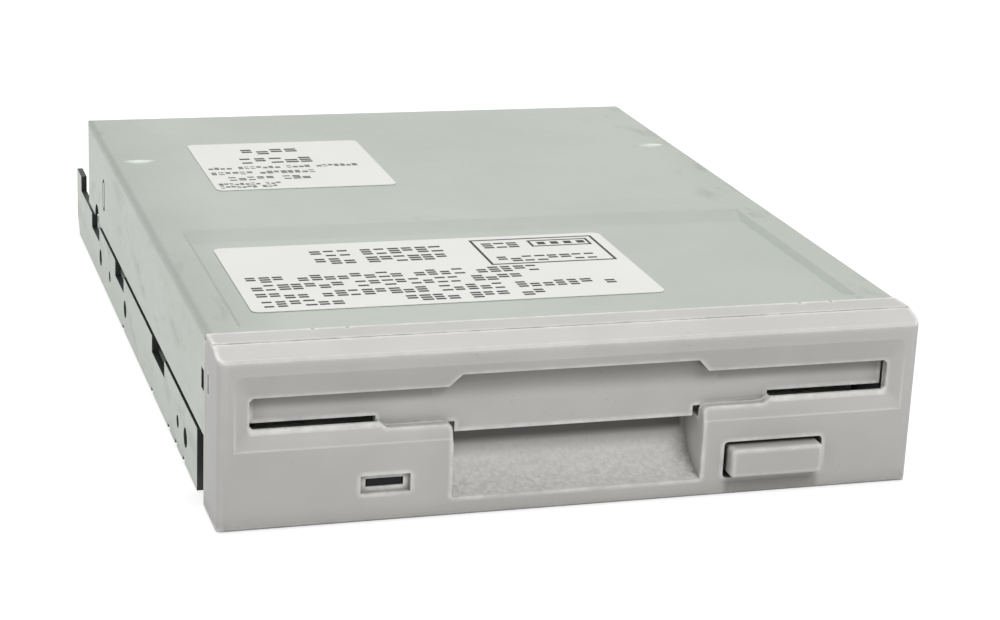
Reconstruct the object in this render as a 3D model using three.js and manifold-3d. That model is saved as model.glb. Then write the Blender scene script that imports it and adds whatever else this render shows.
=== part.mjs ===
// A 3.5 inch floppy disk drive, one inch high, built as its separate pieces.
// Millimetres. X runs along the width, Y runs from the front face to the rear, Z is up.
// The pieces are placed from the front face and the resting plane, and the last group centres the whole.
import * as THREE from 'three';
import { mergeVertices } from 'three/addons/utils/BufferGeometryUtils.js';
import Module from 'manifold-3d';

const wasm = await Module();
wasm.setup();

// Driving dimensions
const disk = { halfWidth: 45, sideRoom: 5.8, thickness: 3.3, hubFromTrailing: 47, loadedTrailing: 7, enterBottom: 15.1 };
const drive = {
  width: 2 * (disk.halfWidth + disk.sideRoom), height: 25.4, rearEnd: 148, coverRear: 132, coverDrop: 0.2,
};
const load = { travel: 5.5, drop: 2.6, leverTurn: 68.8, armDrop: 12 };
const sheet = { cover: 0.8, chassis: 1, inner: 0.8 };
const gap = { seat: 0.05, slip: 0.15, run: 0.3, free: 0.6, side: 0.5, overrun: 1 };
const screwLead = 3.75;
const halfWidth = drive.width / 2;
const inset = { panel: 4.9, dimple: 4.8, ledge: 4.3, foot: 8.8, footHole: 4.8, recess: 2.3, slot: 4.4, door: 4.6,
  stub: 2.7, ear: 3.8, earBore: 2.3, main: 2.3, latch: 8.3, gutter: 2.9, spring: 19.3, lever: 9.7,
  motorScrew: 19.8, motorBoard: 15.8, slideInner: 23.8 };
const spindleY = disk.loadedTrailing + disk.hubFromTrailing;

// Finishes: colour, roughness and metalness of each material
const finishes = {
  bezelPlastic: [0xb4b4b0, 0.55, 0],
  zincSteel: [0xb9c0b8, 0.42, 0.6],
  brightSteel: [0xc9cccc, 0.25, 0.9],
  springSteel: [0x8d9093, 0.3, 0.9],
  paper: [0xecede8, 0.7, 0],
  darkPlastic: [0x1c1d1f, 0.5, 0],
  whitePlastic: [0xe2dfd2, 0.5, 0],
  smokedLens: [0x14181a, 0.15, 0],
  boardGreen: [0x1f5a37, 0.45, 0],
  copperWinding: [0xa5562b, 0.4, 0.7],
  magnetGrey: [0x3b3b3d, 0.6, 0.2],
  bronze: [0x9a7b45, 0.35, 0.8],
  ceramic: [0x5d5148, 0.3, 0],
};

// Solid helpers: three.js geometry in, manifold solids joined and cut, geometry out
function solid(geometry) {
  const bare = geometry.clone();
  bare.deleteAttribute('normal');
  bare.deleteAttribute('uv');
  const merged = mergeVertices(bare);
  const index = merged.index.array;
  const triangles = [];
  for (let i = 0; i < index.length; i += 3) {
    const [a, b, c] = [index[i], index[i + 1], index[i + 2]];
    if (a !== b && b !== c && c !== a) triangles.push(a, b, c);
  }
  const vertProperties = new Float32Array(merged.attributes.position.array);
  const triVerts = new Uint32Array(triangles);
  return new wasm.Manifold(new wasm.Mesh({ numProp: 3, vertProperties, triVerts }));
}

function fuse(...bodies) {
  return bodies.reduce((sum, body) => sum.add(body));
}

function carve(body, ...cutters) {
  return cutters.reduce((rest, cutter) => rest.subtract(cutter), body);
}

function toGeometry(body) {
  const { vertProperties, triVerts } = body.getMesh();
  const geometry = new THREE.BufferGeometry();
  geometry.setAttribute('position', new THREE.BufferAttribute(new Float32Array(vertProperties), 3));
  geometry.setIndex(new THREE.BufferAttribute(new Uint32Array(triVerts), 1));
  geometry.computeVertexNormals();
  return geometry;
}

// A range of the given half size round a centre, and its mirror image
const span = (centre, half) => [centre - half, centre + half];
const flip = ([low, high]) => [-high, -low];
const sides = [-1, 1];
const halfTurn = 180;
const sided = (side, [low, high]) => (side > 0 ? [low, high] : [-high, -low]);

function block([x0, x1], [y0, y1], [z0, z1]) {
  const geometry = new THREE.BoxGeometry(x1 - x0, y1 - y0, z1 - z0);
  return solid(geometry.translate((x0 + x1) / 2, (y0 + y1) / 2, (z0 + z1) / 2));
}

// Prisms: the outline lies across the named axis and runs from low to high along it
function raise(shape, [low, high], curveSegments = 3) {
  return new THREE.ExtrudeGeometry(shape, { depth: high - low, bevelEnabled: false, curveSegments });
}

function prismZ(shape, range, curveSegments) {
  return solid(raise(shape, range, curveSegments).translate(0, 0, range[0]));
}

function prismY(shape, range, curveSegments) {
  return solid(raise(shape, range, curveSegments).rotateX(Math.PI / 2).translate(0, range[1], 0));
}

function prismX(shape, range, curveSegments) {
  const [ex, ey, ez] = [new THREE.Vector3(1, 0, 0), new THREE.Vector3(0, 1, 0), new THREE.Vector3(0, 0, 1)];
  const turn = new THREE.Matrix4().makeBasis(ey, ez, ex);
  return solid(raise(shape, range, curveSegments).applyMatrix4(turn).translate(range[0], 0, 0));
}

function polygon(points) {
  return new THREE.Shape(points.map(([u, v]) => new THREE.Vector2(u, v)));
}

function mirrored(points) {
  return polygon([...points, ...points.map(([u, v]) => [-u, v]).reverse()]);
}

function rectangle([u0, u1], [v0, v1], radius) {
  const quarter = Math.PI / 2;
  const shape = new THREE.Shape();
  shape.absarc(u1 - radius, v0 + radius, radius, -quarter, 0);
  shape.absarc(u1 - radius, v1 - radius, radius, 0, quarter);
  shape.absarc(u0 + radius, v1 - radius, radius, quarter, 2 * quarter);
  shape.absarc(u0 + radius, v0 + radius, radius, 2 * quarter, 3 * quarter);
  return shape;
}

// A slot with round ends between two points
function track([u0, v0], [u1, v1], radius) {
  const along = Math.atan2(v1 - v0, u1 - u0);
  const quarter = Math.PI / 2;
  const shape = new THREE.Shape();
  shape.absarc(u1, v1, radius, along - quarter, along + quarter);
  shape.absarc(u0, v0, radius, along + quarter, along + 3 * quarter);
  return shape;
}

function rod(radius, [low, high], sidesCount = 16) {
  const geometry = new THREE.CylinderGeometry(radius, radius, high - low, sidesCount);
  return solid(geometry.rotateX(Math.PI / 2).translate(0, 0, (low + high) / 2));
}

const at = (body, x, y, z = 0) => body.translate([x, y, z]);
const rodZ = (radius, x, y, range, count) => at(rod(radius, range, count), x, y);
const rodX = (radius, range, y, z, count) => at(rod(radius, range, count).rotate([0, 90, 0]), 0, y, z);
const rodY = (radius, x, range, z, count) => at(rod(radius, flip(range), count).rotate([90, 0, 0]), x, 0, z);

function turned(profile, count = 32) {
  const points = profile.map(([r, z]) => new THREE.Vector2(r, z));
  return solid(new THREE.LatheGeometry([...points, points[0]], count).rotateX(Math.PI / 2));
}

// A box whose top and bottom rectangles differ
function frustum(topX, topY, bottomX, bottomY, [z0, z1]) {
  const geometry = new THREE.BoxGeometry(1, 1, 1);
  const position = geometry.attributes.position;
  for (let i = 0; i < position.count; i += 1) {
    const high = position.getZ(i) > 0;
    const x = (high ? topX : bottomX)[position.getX(i) > 0 ? 1 : 0];
    const y = (high ? topY : bottomY)[position.getY(i) > 0 ? 1 : 0];
    position.setXYZ(i, x, y, high ? z1 : z0);
  }
  return solid(geometry);
}

// Wound springs: a helix of round curls as one unbroken tube, with a straight leg at each end
// that runs on along the curl or, where axial is set, along the axis
const curlSteps = 8;
const wireSides = 5;

class WoundPath extends THREE.Curve {
  constructor(form) {
    super();
    this.form = form;
  }

  getPoint(share, target = new THREE.Vector3()) {
    const { radius, pitch, turns, leg, axial } = this.form;
    const steps = turns * curlSteps + 2;
    const step = share * steps;
    const turn = THREE.MathUtils.clamp((step - 1) / curlSteps, 0, turns);
    const angle = 2 * Math.PI * turn;
    const point = target.set(radius * Math.cos(angle), radius * Math.sin(angle), pitch * turn);
    const [before, after] = [Math.max(0, 1 - step), Math.max(0, step - steps + 1)];
    const heading = axial ? new THREE.Vector3(0, 0, 1) : new THREE.Vector3(-Math.sin(angle), Math.cos(angle), 0);
    return point.addScaledVector(heading, leg * (after - before));
  }
}

function wound(form) {
  const ring = Array.from({ length: wireSides }, (_, i) => {
    const angle = (2 * Math.PI * i) / wireSides;
    return [form.wire * Math.cos(angle), form.wire * Math.sin(angle)];
  });
  const steps = form.turns * curlSteps + 2;
  const options = { steps, extrudePath: new WoundPath(form), bevelEnabled: false };
  const tube = solid(new THREE.ExtrudeGeometry(polygon(ring), options));
  return { tube, gapToItself: form.pitch - 2 * form.wire };
}

const group = new THREE.Group();
const springGaps = {};

function add(name, body, finish) {
  const [color, roughness, metalness] = finishes[finish];
  const material = new THREE.MeshStandardMaterial({ color, roughness, metalness });
  const mesh = new THREE.Mesh(toGeometry(body), material);
  mesh.name = name;
  group.add(mesh);
}

// Heights that several pieces share
const floorTop = 9.3;
const floorZ = [floorTop - sheet.chassis, floorTop];
const slideBase = floorTop + gap.run;
const slideZ = [slideBase, slideBase + sheet.inner];
const bay = { low: disk.enterBottom - gap.run, high: disk.enterBottom + disk.thickness + gap.free };
const coverTop = drive.height - drive.coverDrop;
const coverUnder = coverTop - sheet.cover;

// Front bezel: a moulded tray with a sunk slot surround, finger scoop, lamp window and button opening
const bezel = {
  depth: 10.6, topDepth: 9, wall: 1.8, plate: 2.4, faceHeight: 24.4, slopeStart: 4.4, edge: 1, corner: 1.7,
  cavityTop: 23.2, grooveWidth: 0.35, grooveDepth: 0.2, coverRelief: 1.1,
};
const recess = { half: halfWidth - inset.recess, low: 11.5, high: 22.1, depth: 1, corner: 1.2 };
const slot = { half: halfWidth - inset.slot, low: 14.2, high: 18.7, corner: 0.5, lip: 0.5, relief: 1,
  sill: 13.4, sillOuter: 27.5, sillStep: 28.6, crownHalf: 17.2, crownStep: 18.9, crown: 20.55 };
const recessRise = (slot.low - recess.low) / recess.depth;
const sillDepth = (slot.sill - recess.low) / recessRise;
const scoop = { half: 18.3, radius: 8.6, centreY: -0.5, centreZ: 11.4, wall: 1.4, rim: 13.6, corner: 1 };
const sideSlot = { y: [6.9, 7.8], z: [17.4, 20.2] };
const lamp = { x: -27.7, z: 5.6, recessHalf: 3.5, recessTall: 1.3, recessDepth: 0.8, half: 2.65, tall: 0.6 };
const button = { x: 29.15, z: 5.45, openHalf: 7.5, openTall: 2.7, corner: 0.6, sleeve: 1.2, sleeveEnd: 6,
  clear: 0.55, proud: 2, bodyEnd: 8, round: 0.4, pocketHalf: 4.4, pocketTall: 0.7, pocketDepth: 3 };
const hinge = { y: 3.3, z: 22, barrel: 0.8, stub: 0.6, stubEnd: halfWidth - inset.stub,
  earInner: halfWidth - inset.ear, earEnd: 5, earLow: 20.6,
  earBore: 0.75, boreEnd: halfWidth - inset.earBore };
const tabs = { centres: [-33.9, 37.8], half: 1.9, low: 22.9, high: 24.1, back: 1, reach: 11.4, slit: 0.5, slitDepth: 0.6,
  slitLow: 22.6 };
const bezelInner = halfWidth - bezel.wall;

function bezelShell() {
  const side = new THREE.Shape();
  side.moveTo(bezel.edge, 0);
  side.lineTo(bezel.depth, 0);
  side.lineTo(bezel.depth, drive.height);
  side.lineTo(bezel.slopeStart, drive.height);
  side.lineTo(bezel.edge, bezel.faceHeight);
  side.quadraticCurveTo(0, bezel.faceHeight, 0, bezel.faceHeight - bezel.edge);
  side.lineTo(0, bezel.edge);
  side.quadraticCurveTo(0, 0, bezel.edge, 0);
  const plan = new THREE.Shape();
  plan.moveTo(halfWidth, bezel.corner);
  plan.lineTo(halfWidth, bezel.depth);
  plan.lineTo(-halfWidth, bezel.depth);
  plan.lineTo(-halfWidth, bezel.corner);
  plan.quadraticCurveTo(-halfWidth, 0, bezel.corner - halfWidth, 0);
  plan.lineTo(halfWidth - bezel.corner, 0);
  plan.quadraticCurveTo(halfWidth, 0, halfWidth, bezel.corner);
  const outside = prismX(side, span(0, halfWidth)).intersect(prismZ(plan, [0, drive.height], 5));
  const cavityY = [bezel.plate, bezel.depth + gap.overrun];
  const reliefY = [bezel.topDepth, bezel.depth + gap.overrun];
  const reliefZ = [drive.height - bezel.coverRelief, drive.height + gap.overrun];
  return carve(
    outside,
    block(span(0, bezelInner), cavityY, [bezel.wall, bezel.cavityTop]),
    block(span(0, drive.width), reliefY, reliefZ),
  );
}

function slotOutline() {
  return mirrored([
    [slot.sillOuter, slot.sill],
    [slot.sillStep, slot.low],
    [slot.half - slot.corner, slot.low],
    [slot.half, slot.low + slot.corner],
    [slot.half, slot.high - slot.corner],
    [slot.half - slot.corner, slot.high],
    [slot.crownStep, slot.high],
    [slot.crownHalf, slot.crown],
  ]);
}

// The surround slopes from its rim to the slot's edge on all four sides
function recessCutter() {
  const rim = rectangle(span(0, recess.half), [recess.low, recess.high], recess.corner);
  const edge = rectangle(span(0, slot.half), [slot.low, slot.high], slot.corner);
  return wasm.Manifold.hull([
    prismY(rim, [-gap.overrun, 0]),
    prismY(edge, [recess.depth - gap.seat, recess.depth]),
  ]);
}

function scoopOutline(radius, front, top) {
  const quarter = Math.PI / 2;
  const outline = new THREE.Shape();
  if (front < scoop.centreY) outline.moveTo(front, scoop.centreZ - radius);
  outline.absarc(scoop.centreY, scoop.centreZ, radius, -quarter, 0);
  outline.lineTo(scoop.centreY + radius, top);
  outline.lineTo(front, top);
  return outline;
}

// Rounds the end of the sill, first up the slope of the surround and then along the sill's top
function scoopCorner(side) {
  const [x, radius] = [side * scoop.half, scoop.corner];
  const shape = new THREE.Shape();
  shape.moveTo(x - side * gap.seat, gap.seat);
  shape.lineTo(x - side * gap.seat, -radius);
  shape.lineTo(x, -radius);
  shape.quadraticCurveTo(x, 0, x + side * radius, 0);
  shape.lineTo(x + side * radius, gap.seat);
  const lean = new THREE.Matrix4().makeShear(0, 0, 0, recessRise, 0, 0);
  const front = prismY(shape, [-gap.overrun, sillDepth], 4).transform(lean.elements).translate([0, 0, recess.low]);
  const back = prismY(shape, [sillDepth, bezel.plate + gap.overrun], 4).translate([0, 0, slot.sill]);
  return fuse(front, back);
}

function frontBezel() {
  const scoopShell = scoopOutline(scoop.radius + scoop.wall, scoop.centreY, scoop.centreZ);
  const behindPlate = block(span(0, drive.width), [bezel.plate - gap.free, drive.rearEnd], [0, drive.height]);
  const scoopSpace = scoopOutline(scoop.radius, -gap.overrun, scoop.rim);
  const open = [span(button.x, button.openHalf), span(button.z, button.openTall)];
  const sleeve = [span(button.x, button.openHalf + button.sleeve), span(button.z, button.openTall + button.sleeve)];
  const through = [-gap.overrun, button.sleeveEnd + gap.overrun];
  let body = fuse(
    bezelShell(),
    prismX(scoopShell, span(0, scoop.half + scoop.wall), 8).intersect(behindPlate),
    block(sleeve[0], [bezel.plate - gap.free, button.sleeveEnd], sleeve[1]),
  );
  for (const side of sides) {
    const ear = [bezel.plate - gap.free, hinge.earEnd];
    const earX = sided(side, [hinge.earInner, bezelInner + gap.free]);
    body = fuse(body, block(earX, ear, [hinge.earLow, bezel.cavityTop + gap.free]));
  }
  for (const centre of tabs.centres) {
    body = fuse(body, block(span(centre, tabs.half), [bezel.topDepth - tabs.back, tabs.reach], [tabs.low, tabs.high]));
    for (const side of sides) {
      const slitX = span(centre + side * (tabs.half + tabs.slit), tabs.slit / 2);
      const slitY = [bezel.topDepth - tabs.slitDepth, bezel.depth];
      body = carve(body, block(slitX, slitY, [tabs.slitLow, drive.height + gap.overrun]));
    }
  }
  const grooveY = span(bezel.slopeStart, bezel.grooveWidth / 2);
  body = carve(
    body,
    recessCutter(),
    prismY(slotOutline(), [-gap.overrun, bezel.plate + gap.overrun]),
    prismX(scoopSpace, span(0, scoop.half), 8),
    prismY(rectangle(...open, button.corner), through),
    block(span(lamp.x, lamp.recessHalf), [-gap.overrun, lamp.recessDepth], span(lamp.z, lamp.recessTall)),
    block(span(lamp.x, lamp.half), [0, bezel.plate + gap.overrun], span(lamp.z, lamp.tall)),
    block(span(0, drive.width), grooveY, [drive.height - bezel.grooveDepth, drive.height + gap.overrun]),
  );
  const lipY = [recess.depth + slot.lip, bezel.plate + gap.overrun];
  for (const side of sides) {
    const bore = sided(side, [hinge.earInner - gap.free, hinge.boreEnd]);
    body = carve(
      body,
      rodX(hinge.earBore, bore, hinge.y, hinge.z, 12),
      block(sided(side, [slot.sillStep, slot.half]), lipY, [slot.low - slot.relief, slot.high]),
      block(sided(side, [bezelInner - gap.overrun, halfWidth + gap.overrun]), sideSlot.y, sideSlot.z),
      scoopCorner(side),
    );
  }
  add('front_bezel', body, 'bezelPlastic');
}

// Side shields: dark strips glued inside the bezel's sides, which close the gap in front of the chassis walls
const shield = { thickness: 0.8, top: 12.9, cut: 2 };

function sideShields() {
  const rear = wall.front - gap.run;
  const [low, front] = [bezel.wall + gap.seat, bezel.plate + gap.seat];
  const outline = polygon([
    [front, low],
    [rear, low],
    [rear, shield.top - shield.cut],
    [rear - shield.cut, shield.top],
    [front, shield.top],
  ]);
  for (const side of sides) {
    const outer = bezelInner - gap.seat;
    const body = prismX(outline, sided(side, [outer - shield.thickness, outer]));
    add(`side_shield_${side < 0 ? 'left' : 'right'}`, body, 'darkPlastic');
  }
}

// Dust door: hangs from its top edge behind the slot, with a tongue over the finger scoop
const door = { thickness: 1.2, half: halfWidth - inset.door, low: 14.6, tongueHalf: 17.5, tongue: 11.5, middleHalf: 28.7, middle: 13 };
const doorFront = bezel.plate + gap.run;
const neck = { x: [-45, -41], radius: 0.4, low: 20.4 };

function dustDoor() {
  const doorY = [doorFront, doorFront + door.thickness];
  const outline = mirrored([
    [door.tongueHalf, door.tongue],
    [door.tongueHalf, door.middle],
    [door.middleHalf, door.middle],
    [door.middleHalf, door.low],
    [door.half, door.low],
    [door.half, hinge.z],
  ]);
  const plate = fuse(prismY(outline, doorY), rodX(hinge.barrel, span(0, door.half), hinge.y, hinge.z, 12));
  const notch = block(neck.x, [0, bezel.depth], [neck.low, drive.height]);
  const body = fuse(
    carve(plate, notch),
    rodX(neck.radius, span((neck.x[0] + neck.x[1]) / 2, (neck.x[1] - neck.x[0]) / 2 + gap.slip), hinge.y, hinge.z, 8),
    rodX(hinge.stub, [-hinge.stubEnd, -door.half + gap.run], hinge.y, hinge.z, 12),
    rodX(hinge.stub, [door.half - gap.run, hinge.stubEnd], hinge.y, hinge.z, 12),
  );
  add('dust_door', body, 'bezelPlastic');
}

function doorSpring() {
  const form = { radius: 0.7, wire: 0.15, pitch: 0.75, turns: 4, leg: 0.7 };
  const { tube, gapToItself } = wound(form);
  springGaps.door_spring = gapToItself;
  const length = form.pitch * form.turns;
  const start = (neck.x[0] + neck.x[1] - length) / 2;
  add('door_spring', at(tube.rotate([0, 90, 0]), start, hinge.y, hinge.z), 'springSteel');
}

// Chassis uprights: a pair on each side, between the cover's flange and the slide's wall
const uprightOuter = halfWidth - sheet.chassis - gap.free;
const upright = { inner: uprightOuter - sheet.chassis, outer: uprightOuter, half: 5, top: 19.5 };

// Eject slide: the button, and the plate whose inclined slots raise and lower the disk holder
const slide = {
  half: upright.inner - gap.side, front: 16, rear: 98, wallTop: 19, innerHalf: halfWidth - inset.slideInner, crossEnd: 28, pinY: [28, 90],
  switchWindow: [35.2, 41.8], switchY: [17.2, 28.2], postWindow: 2, springX: halfWidth - inset.spring, springSlot: 2.2,
  springY: [32, 59.5], armX: [25, 33], armFront: 12.4, armLow: 5, latchX: halfWidth - inset.latch, latchY: [101, 101.8],
  latchWall: 103.5, latchTop: 21.1,
};
const pin = { radius: 0.9, z: 17, end: upright.outer + gap.run };
const holder = {
  innerHalf: disk.halfWidth + gap.side, front: 15.3, rear: 106, lip: 42, windowHalf: 9, windowStart: 72,
};
const holderTop = bay.high + sheet.inner;
const lever = { x: halfWidth - inset.lever, y: 95.5, fingerX: 24, fingerY: 72, finger: 1.2, fingerLow: 15.6, width: 5, tail: 4.2,
  tailHalf: 1.25, pivot: 1.2, pivotHead: 2, thickness: 0.8 };
const leverZ = [holderTop + gap.run, holderTop + gap.run + lever.thickness];

function ejectButton() {
  const outline = rectangle(
    span(button.x, button.openHalf - button.clear),
    span(button.z, button.openTall - button.clear),
    button.corner,
  );
  const geometry = new THREE.ExtrudeGeometry(outline, {
    depth: button.bodyEnd + button.proud - 2 * button.round, curveSegments: 2, bevelEnabled: true, bevelSegments: 2,
    bevelThickness: button.round, bevelSize: button.round, bevelOffset: -button.round,
  });
  const body = solid(geometry.rotateX(Math.PI / 2).translate(0, button.bodyEnd - button.round, 0));
  const pocketY = [button.bodyEnd - button.pocketDepth, button.bodyEnd + gap.overrun];
  const armZ = slide.armLow + sheet.inner / 2;
  const pocket = block(span(button.x, button.pocketHalf), pocketY, span(armZ, button.pocketTall));
  add('eject_button', carve(body, pocket), 'bezelPlastic');
}

function slideWall(side) {
  const wallX = sided(side, [slide.half - sheet.inner, slide.half]);
  let wall = block(wallX, [slide.front, slide.latchWall], [slideBase, slide.wallTop]);
  for (const y of slide.pinY) {
    const cam = track([y, pin.z], [y + load.travel, pin.z - load.drop], pin.radius + gap.run);
    wall = carve(wall, prismX(cam, wallX, 6));
  }
  return wall;
}

function slidePlate() {
  const t = sheet.inner;
  let base = block(span(0, slide.half), [slide.front, slide.rear], slideZ);
  const gapY = [slide.crossEnd, slide.rear + gap.overrun];
  base = carve(base, block(span(0, slide.innerHalf), gapY, [0, drive.height]));
  for (const side of sides) {
    const springX = span(side * slide.springX, slide.springSlot);
    const postY = [posts.frontY - slide.postWindow, slide.crossEnd + gap.overrun];
    base = carve(
      base,
      block(sided(side, slide.switchWindow), slide.switchY, [0, drive.height]),
      block(springX, slide.springY, [0, drive.height]),
      block(span(side * posts.frontX, slide.postWindow), postY, [0, drive.height]),
    );
  }
  const armTop = [slide.armFront, slide.front + gap.overrun];
  const tongue = [button.bodyEnd - button.pocketDepth + gap.run, slide.armFront + t];
  const latchX = [slide.latchX, slide.half];
  const latchZ = [leverZ[0], slide.latchTop];
  let body = fuse(
    base,
    slideWall(-1),
    slideWall(1),
    block(slide.armX, armTop, slideZ),
    block(slide.armX, [slide.armFront, slide.armFront + t], [slide.armLow, slideZ[1]]),
    block(slide.armX, tongue, [slide.armLow, slide.armLow + t]),
    block([slide.half - t, slide.half], [slide.rear, slide.latchWall], [slideBase, slide.latchTop]),
    block(latchX, slide.latchY, latchZ),
  );
  for (const side of sides) {
    body = fuse(body, rodZ(hook.radius, side * slide.springX, hook.slideY, [slideBase, hook.top], 12));
  }
  add('slide_plate', body, 'zincSteel');
}

// Disk holder: a channel that the disk slides into, carried by four pins in the slide's slots
function diskHolder() {
  const t = sheet.inner;
  const outer = holder.innerHalf + t;
  const runY = [holder.front, holder.rear];
  const bottom = bay.low - t;
  let body = carve(
    block(span(0, outer), runY, [bay.high, holderTop]),
    block(span(0, holder.windowHalf), [holder.windowStart, holder.rear + gap.overrun], [0, drive.height]),
  );
  for (const side of sides) {
    body = fuse(
      body,
      block(sided(side, [holder.innerHalf, outer]), runY, [bottom, holderTop]),
      block(sided(side, [holder.lip, outer]), runY, [bottom, bay.low]),
    );
    for (const y of slide.pinY) {
      body = fuse(body, rodX(pin.radius, sided(side, [outer - t / 2, pin.end]), y, pin.z, 16));
    }
  }
  const start = Math.atan2(lever.fingerY - lever.y, lever.fingerX - lever.x);
  const arm = Math.hypot(lever.fingerY - lever.y, lever.fingerX - lever.x);
  const turn = THREE.MathUtils.degToRad(load.leverTurn);
  const arc = new THREE.Shape();
  const quarter = Math.PI / 2;
  const wide = lever.finger + gap.run;
  const end = start - turn;
  const place = (angle) => [lever.x + arm * Math.cos(angle), lever.y + arm * Math.sin(angle)];
  arc.absarc(lever.x, lever.y, arm + wide, end, start);
  arc.absarc(...place(start), wide, start, start + 2 * quarter);
  arc.absarc(lever.x, lever.y, arm - wide, start, end, true);
  arc.absarc(...place(end), wide, end + 2 * quarter, end + 4 * quarter);
  const pivotHole = rodZ(lever.pivot - gap.slip, lever.x, lever.y, [bay.high - gap.overrun, drive.height], 16);
  add('disk_holder', carve(body, prismZ(arc, [bay.high - gap.overrun, drive.height], 8), pivotHole), 'zincSteel');
}

function leverPivot() {
  const shank = lever.pivot - gap.run;
  const head = [leverZ[1] + gap.run, leverZ[1] + gap.run + lever.thickness];
  const body = fuse(
    rodZ(shank, lever.x, lever.y, [bay.high, head[1]], 16),
    rodZ(lever.pivotHead, lever.x, lever.y, head, 16),
  );
  add('lever_pivot', body, 'brightSteel');
}

function shutterLever() {
  const toFinger = Math.atan2(lever.fingerY - lever.y, lever.fingerX - lever.x);
  const tailEnd = [lever.x - lever.tail * Math.cos(toFinger), lever.y - lever.tail * Math.sin(toFinger)];
  const arm = track([lever.x, lever.y], [lever.fingerX, lever.fingerY], lever.width / 2);
  const tail = track([lever.x, lever.y], tailEnd, lever.tailHalf);
  const body = fuse(
    prismZ(arm, leverZ, 6),
    prismZ(tail, leverZ, 6),
    rodZ(lever.finger, lever.fingerX, lever.fingerY, [lever.fingerLow, leverZ[1]], 12),
  );
  add('shutter_lever', carve(body, rodZ(lever.pivot, lever.x, lever.y, [0, drive.height], 16)), 'zincSteel');
}

// Eject springs: each pulls the slide towards the front, from a hook on the chassis to one on the slide
const hook = { radius: 0.9, chassisY: 34, slotStart: 36, slideY: 60, top: 11.2 };

function ejectSprings() {
  const form = { radius: 1.25, wire: 0.25, pitch: 1.5, turns: 14, leg: 1.3, axial: true };
  const { tube, gapToItself } = wound(form);
  springGaps.eject_springs = gapToItself;
  const length = form.pitch * form.turns;
  const start = (hook.chassisY + hook.slideY - length) / 2;
  for (const [name, side] of [['eject_spring_left', -1], ['eject_spring_right', 1]]) {
    const body = at(tube.rotate([-90, 0, 0]), side * slide.springX, start, slideBase + sheet.inner / 2);
    add(name, body, 'springSteel');
  }
}

// Chassis: a pressed steel floor with side walls bent down, uprights, posts and standoffs
const wall = { front: 15.8, bottom: 0, rearLug: 142, lugTop: 12.1, cornerCut: 3 };
const notches = { top: [[44.5, 56.5], [87, 97], [117, 127]], low: 6.6, marks: [27, 33.8, 40.4, 56.5, 87.8], mark: 0.8,
  markTall: 0.7, deep: 1.8 };
const sideHoles = { z: 4.2, y: [25.6, 85.6, 115.6], radius: 1.5, smallY: [32.3, 104], small: 1 };
const posts = { frontX: 22, frontY: 22, rearX: 25, rearY: 92, radius: 1.5, top: 12.5, tip: 0.8, tipTop: 13.4 };
const floorCuts = { front: 14.8, rotor: 25, windowHalf: 19, windowY: [81, 123], stepperX: [5.5, 28.5], stepperY: 117.9, rear: 127,
  sensorX: [-26.5, -18], sensorY: [110.5, 118.5] };
const feet = { y: [30, 112], half: 4.5, inner: halfWidth - inset.foot, hole: 1.5,
  holeX: halfWidth - inset.footHole };
const standoff = { radius: 2.6, bore: 1.1, motorX: halfWidth - inset.motorScrew, mainX: halfWidth - inset.foot };
standoff.motor = [24, 78].flatMap((y) => [[-standoff.motorX, y], [standoff.motorX, y]]);
standoff.main = [[-standoff.mainX, 102], [standoff.mainX, 102]];
const ledge = { inner: halfWidth - inset.ledge, y: [132, 138], thickness: 1 };

// A gutter runs along each side between the floor and the wall, so that the wall's top edge stands free
const gutter = { inner: halfWidth - inset.gutter, z: [5.6, 6.6] };

function floorPlate() {
  const plateY = [floorCuts.front, floorCuts.rear];
  const all = [0, drive.height];
  let plate = carve(
    block(span(0, gutter.inner), plateY, floorZ),
    rodZ(floorCuts.rotor, 0, spindleY, all, 48),
    block(span(0, floorCuts.windowHalf), floorCuts.windowY, all),
    block(floorCuts.stepperX, [floorCuts.stepperY, floorCuts.rear + gap.overrun], all),
    block(floorCuts.sensorX, floorCuts.sensorY, all),
  );
  for (const side of sides) {
    plate = carve(plate, block(span(side * slide.springX, slide.springSlot), [hook.slotStart, slide.springY[1]], all));
  }
  return plate;
}

function chassisWall(side) {
  const outer = sided(side, [halfWidth - sheet.chassis, halfWidth]);
  const cutX = sided(side, [halfWidth - notches.deep, halfWidth + gap.overrun]);
  const outline = polygon([
    [wall.front, wall.bottom],
    [drive.rearEnd - wall.cornerCut, wall.bottom],
    [drive.rearEnd, wall.cornerCut],
    [drive.rearEnd, wall.lugTop],
    [wall.rearLug, wall.lugTop],
    [wall.rearLug, floorTop],
    [wall.front, floorTop],
  ]);
  const gutterY = [wall.front, floorCuts.rear];
  let body = fuse(
    prismX(outline, outer),
    block(sided(side, [gutter.inner - sheet.chassis, halfWidth]), gutterY, gutter.z),
    block(sided(side, [gutter.inner - sheet.chassis, gutter.inner]), gutterY, [gutter.z[0], floorTop]),
  );
  for (const y of feet.y) {
    const footX = sided(side, [feet.inner, halfWidth]);
    body = fuse(body, block(footX, span(y, feet.half), [wall.bottom, sheet.chassis]));
    body = carve(body, rodZ(feet.hole, side * feet.holeX, y, [-gap.overrun, sheet.chassis + gap.overrun], 12));
  }
  body = fuse(body, block(sided(side, [ledge.inner, halfWidth]), ledge.y, [ledgeZ, ledgeZ + ledge.thickness]));
  for (const y of sideHoles.y) body = carve(body, rodX(sideHoles.radius, cutX, y, sideHoles.z, 16));
  for (const y of sideHoles.smallY) body = carve(body, rodX(sideHoles.small, cutX, y, sideHoles.z, 12));
  for (const y of notches.marks) {
    body = carve(body, block(cutX, span(y, notches.mark), [-gap.overrun, notches.markTall]));
  }
  return body;
}

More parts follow.
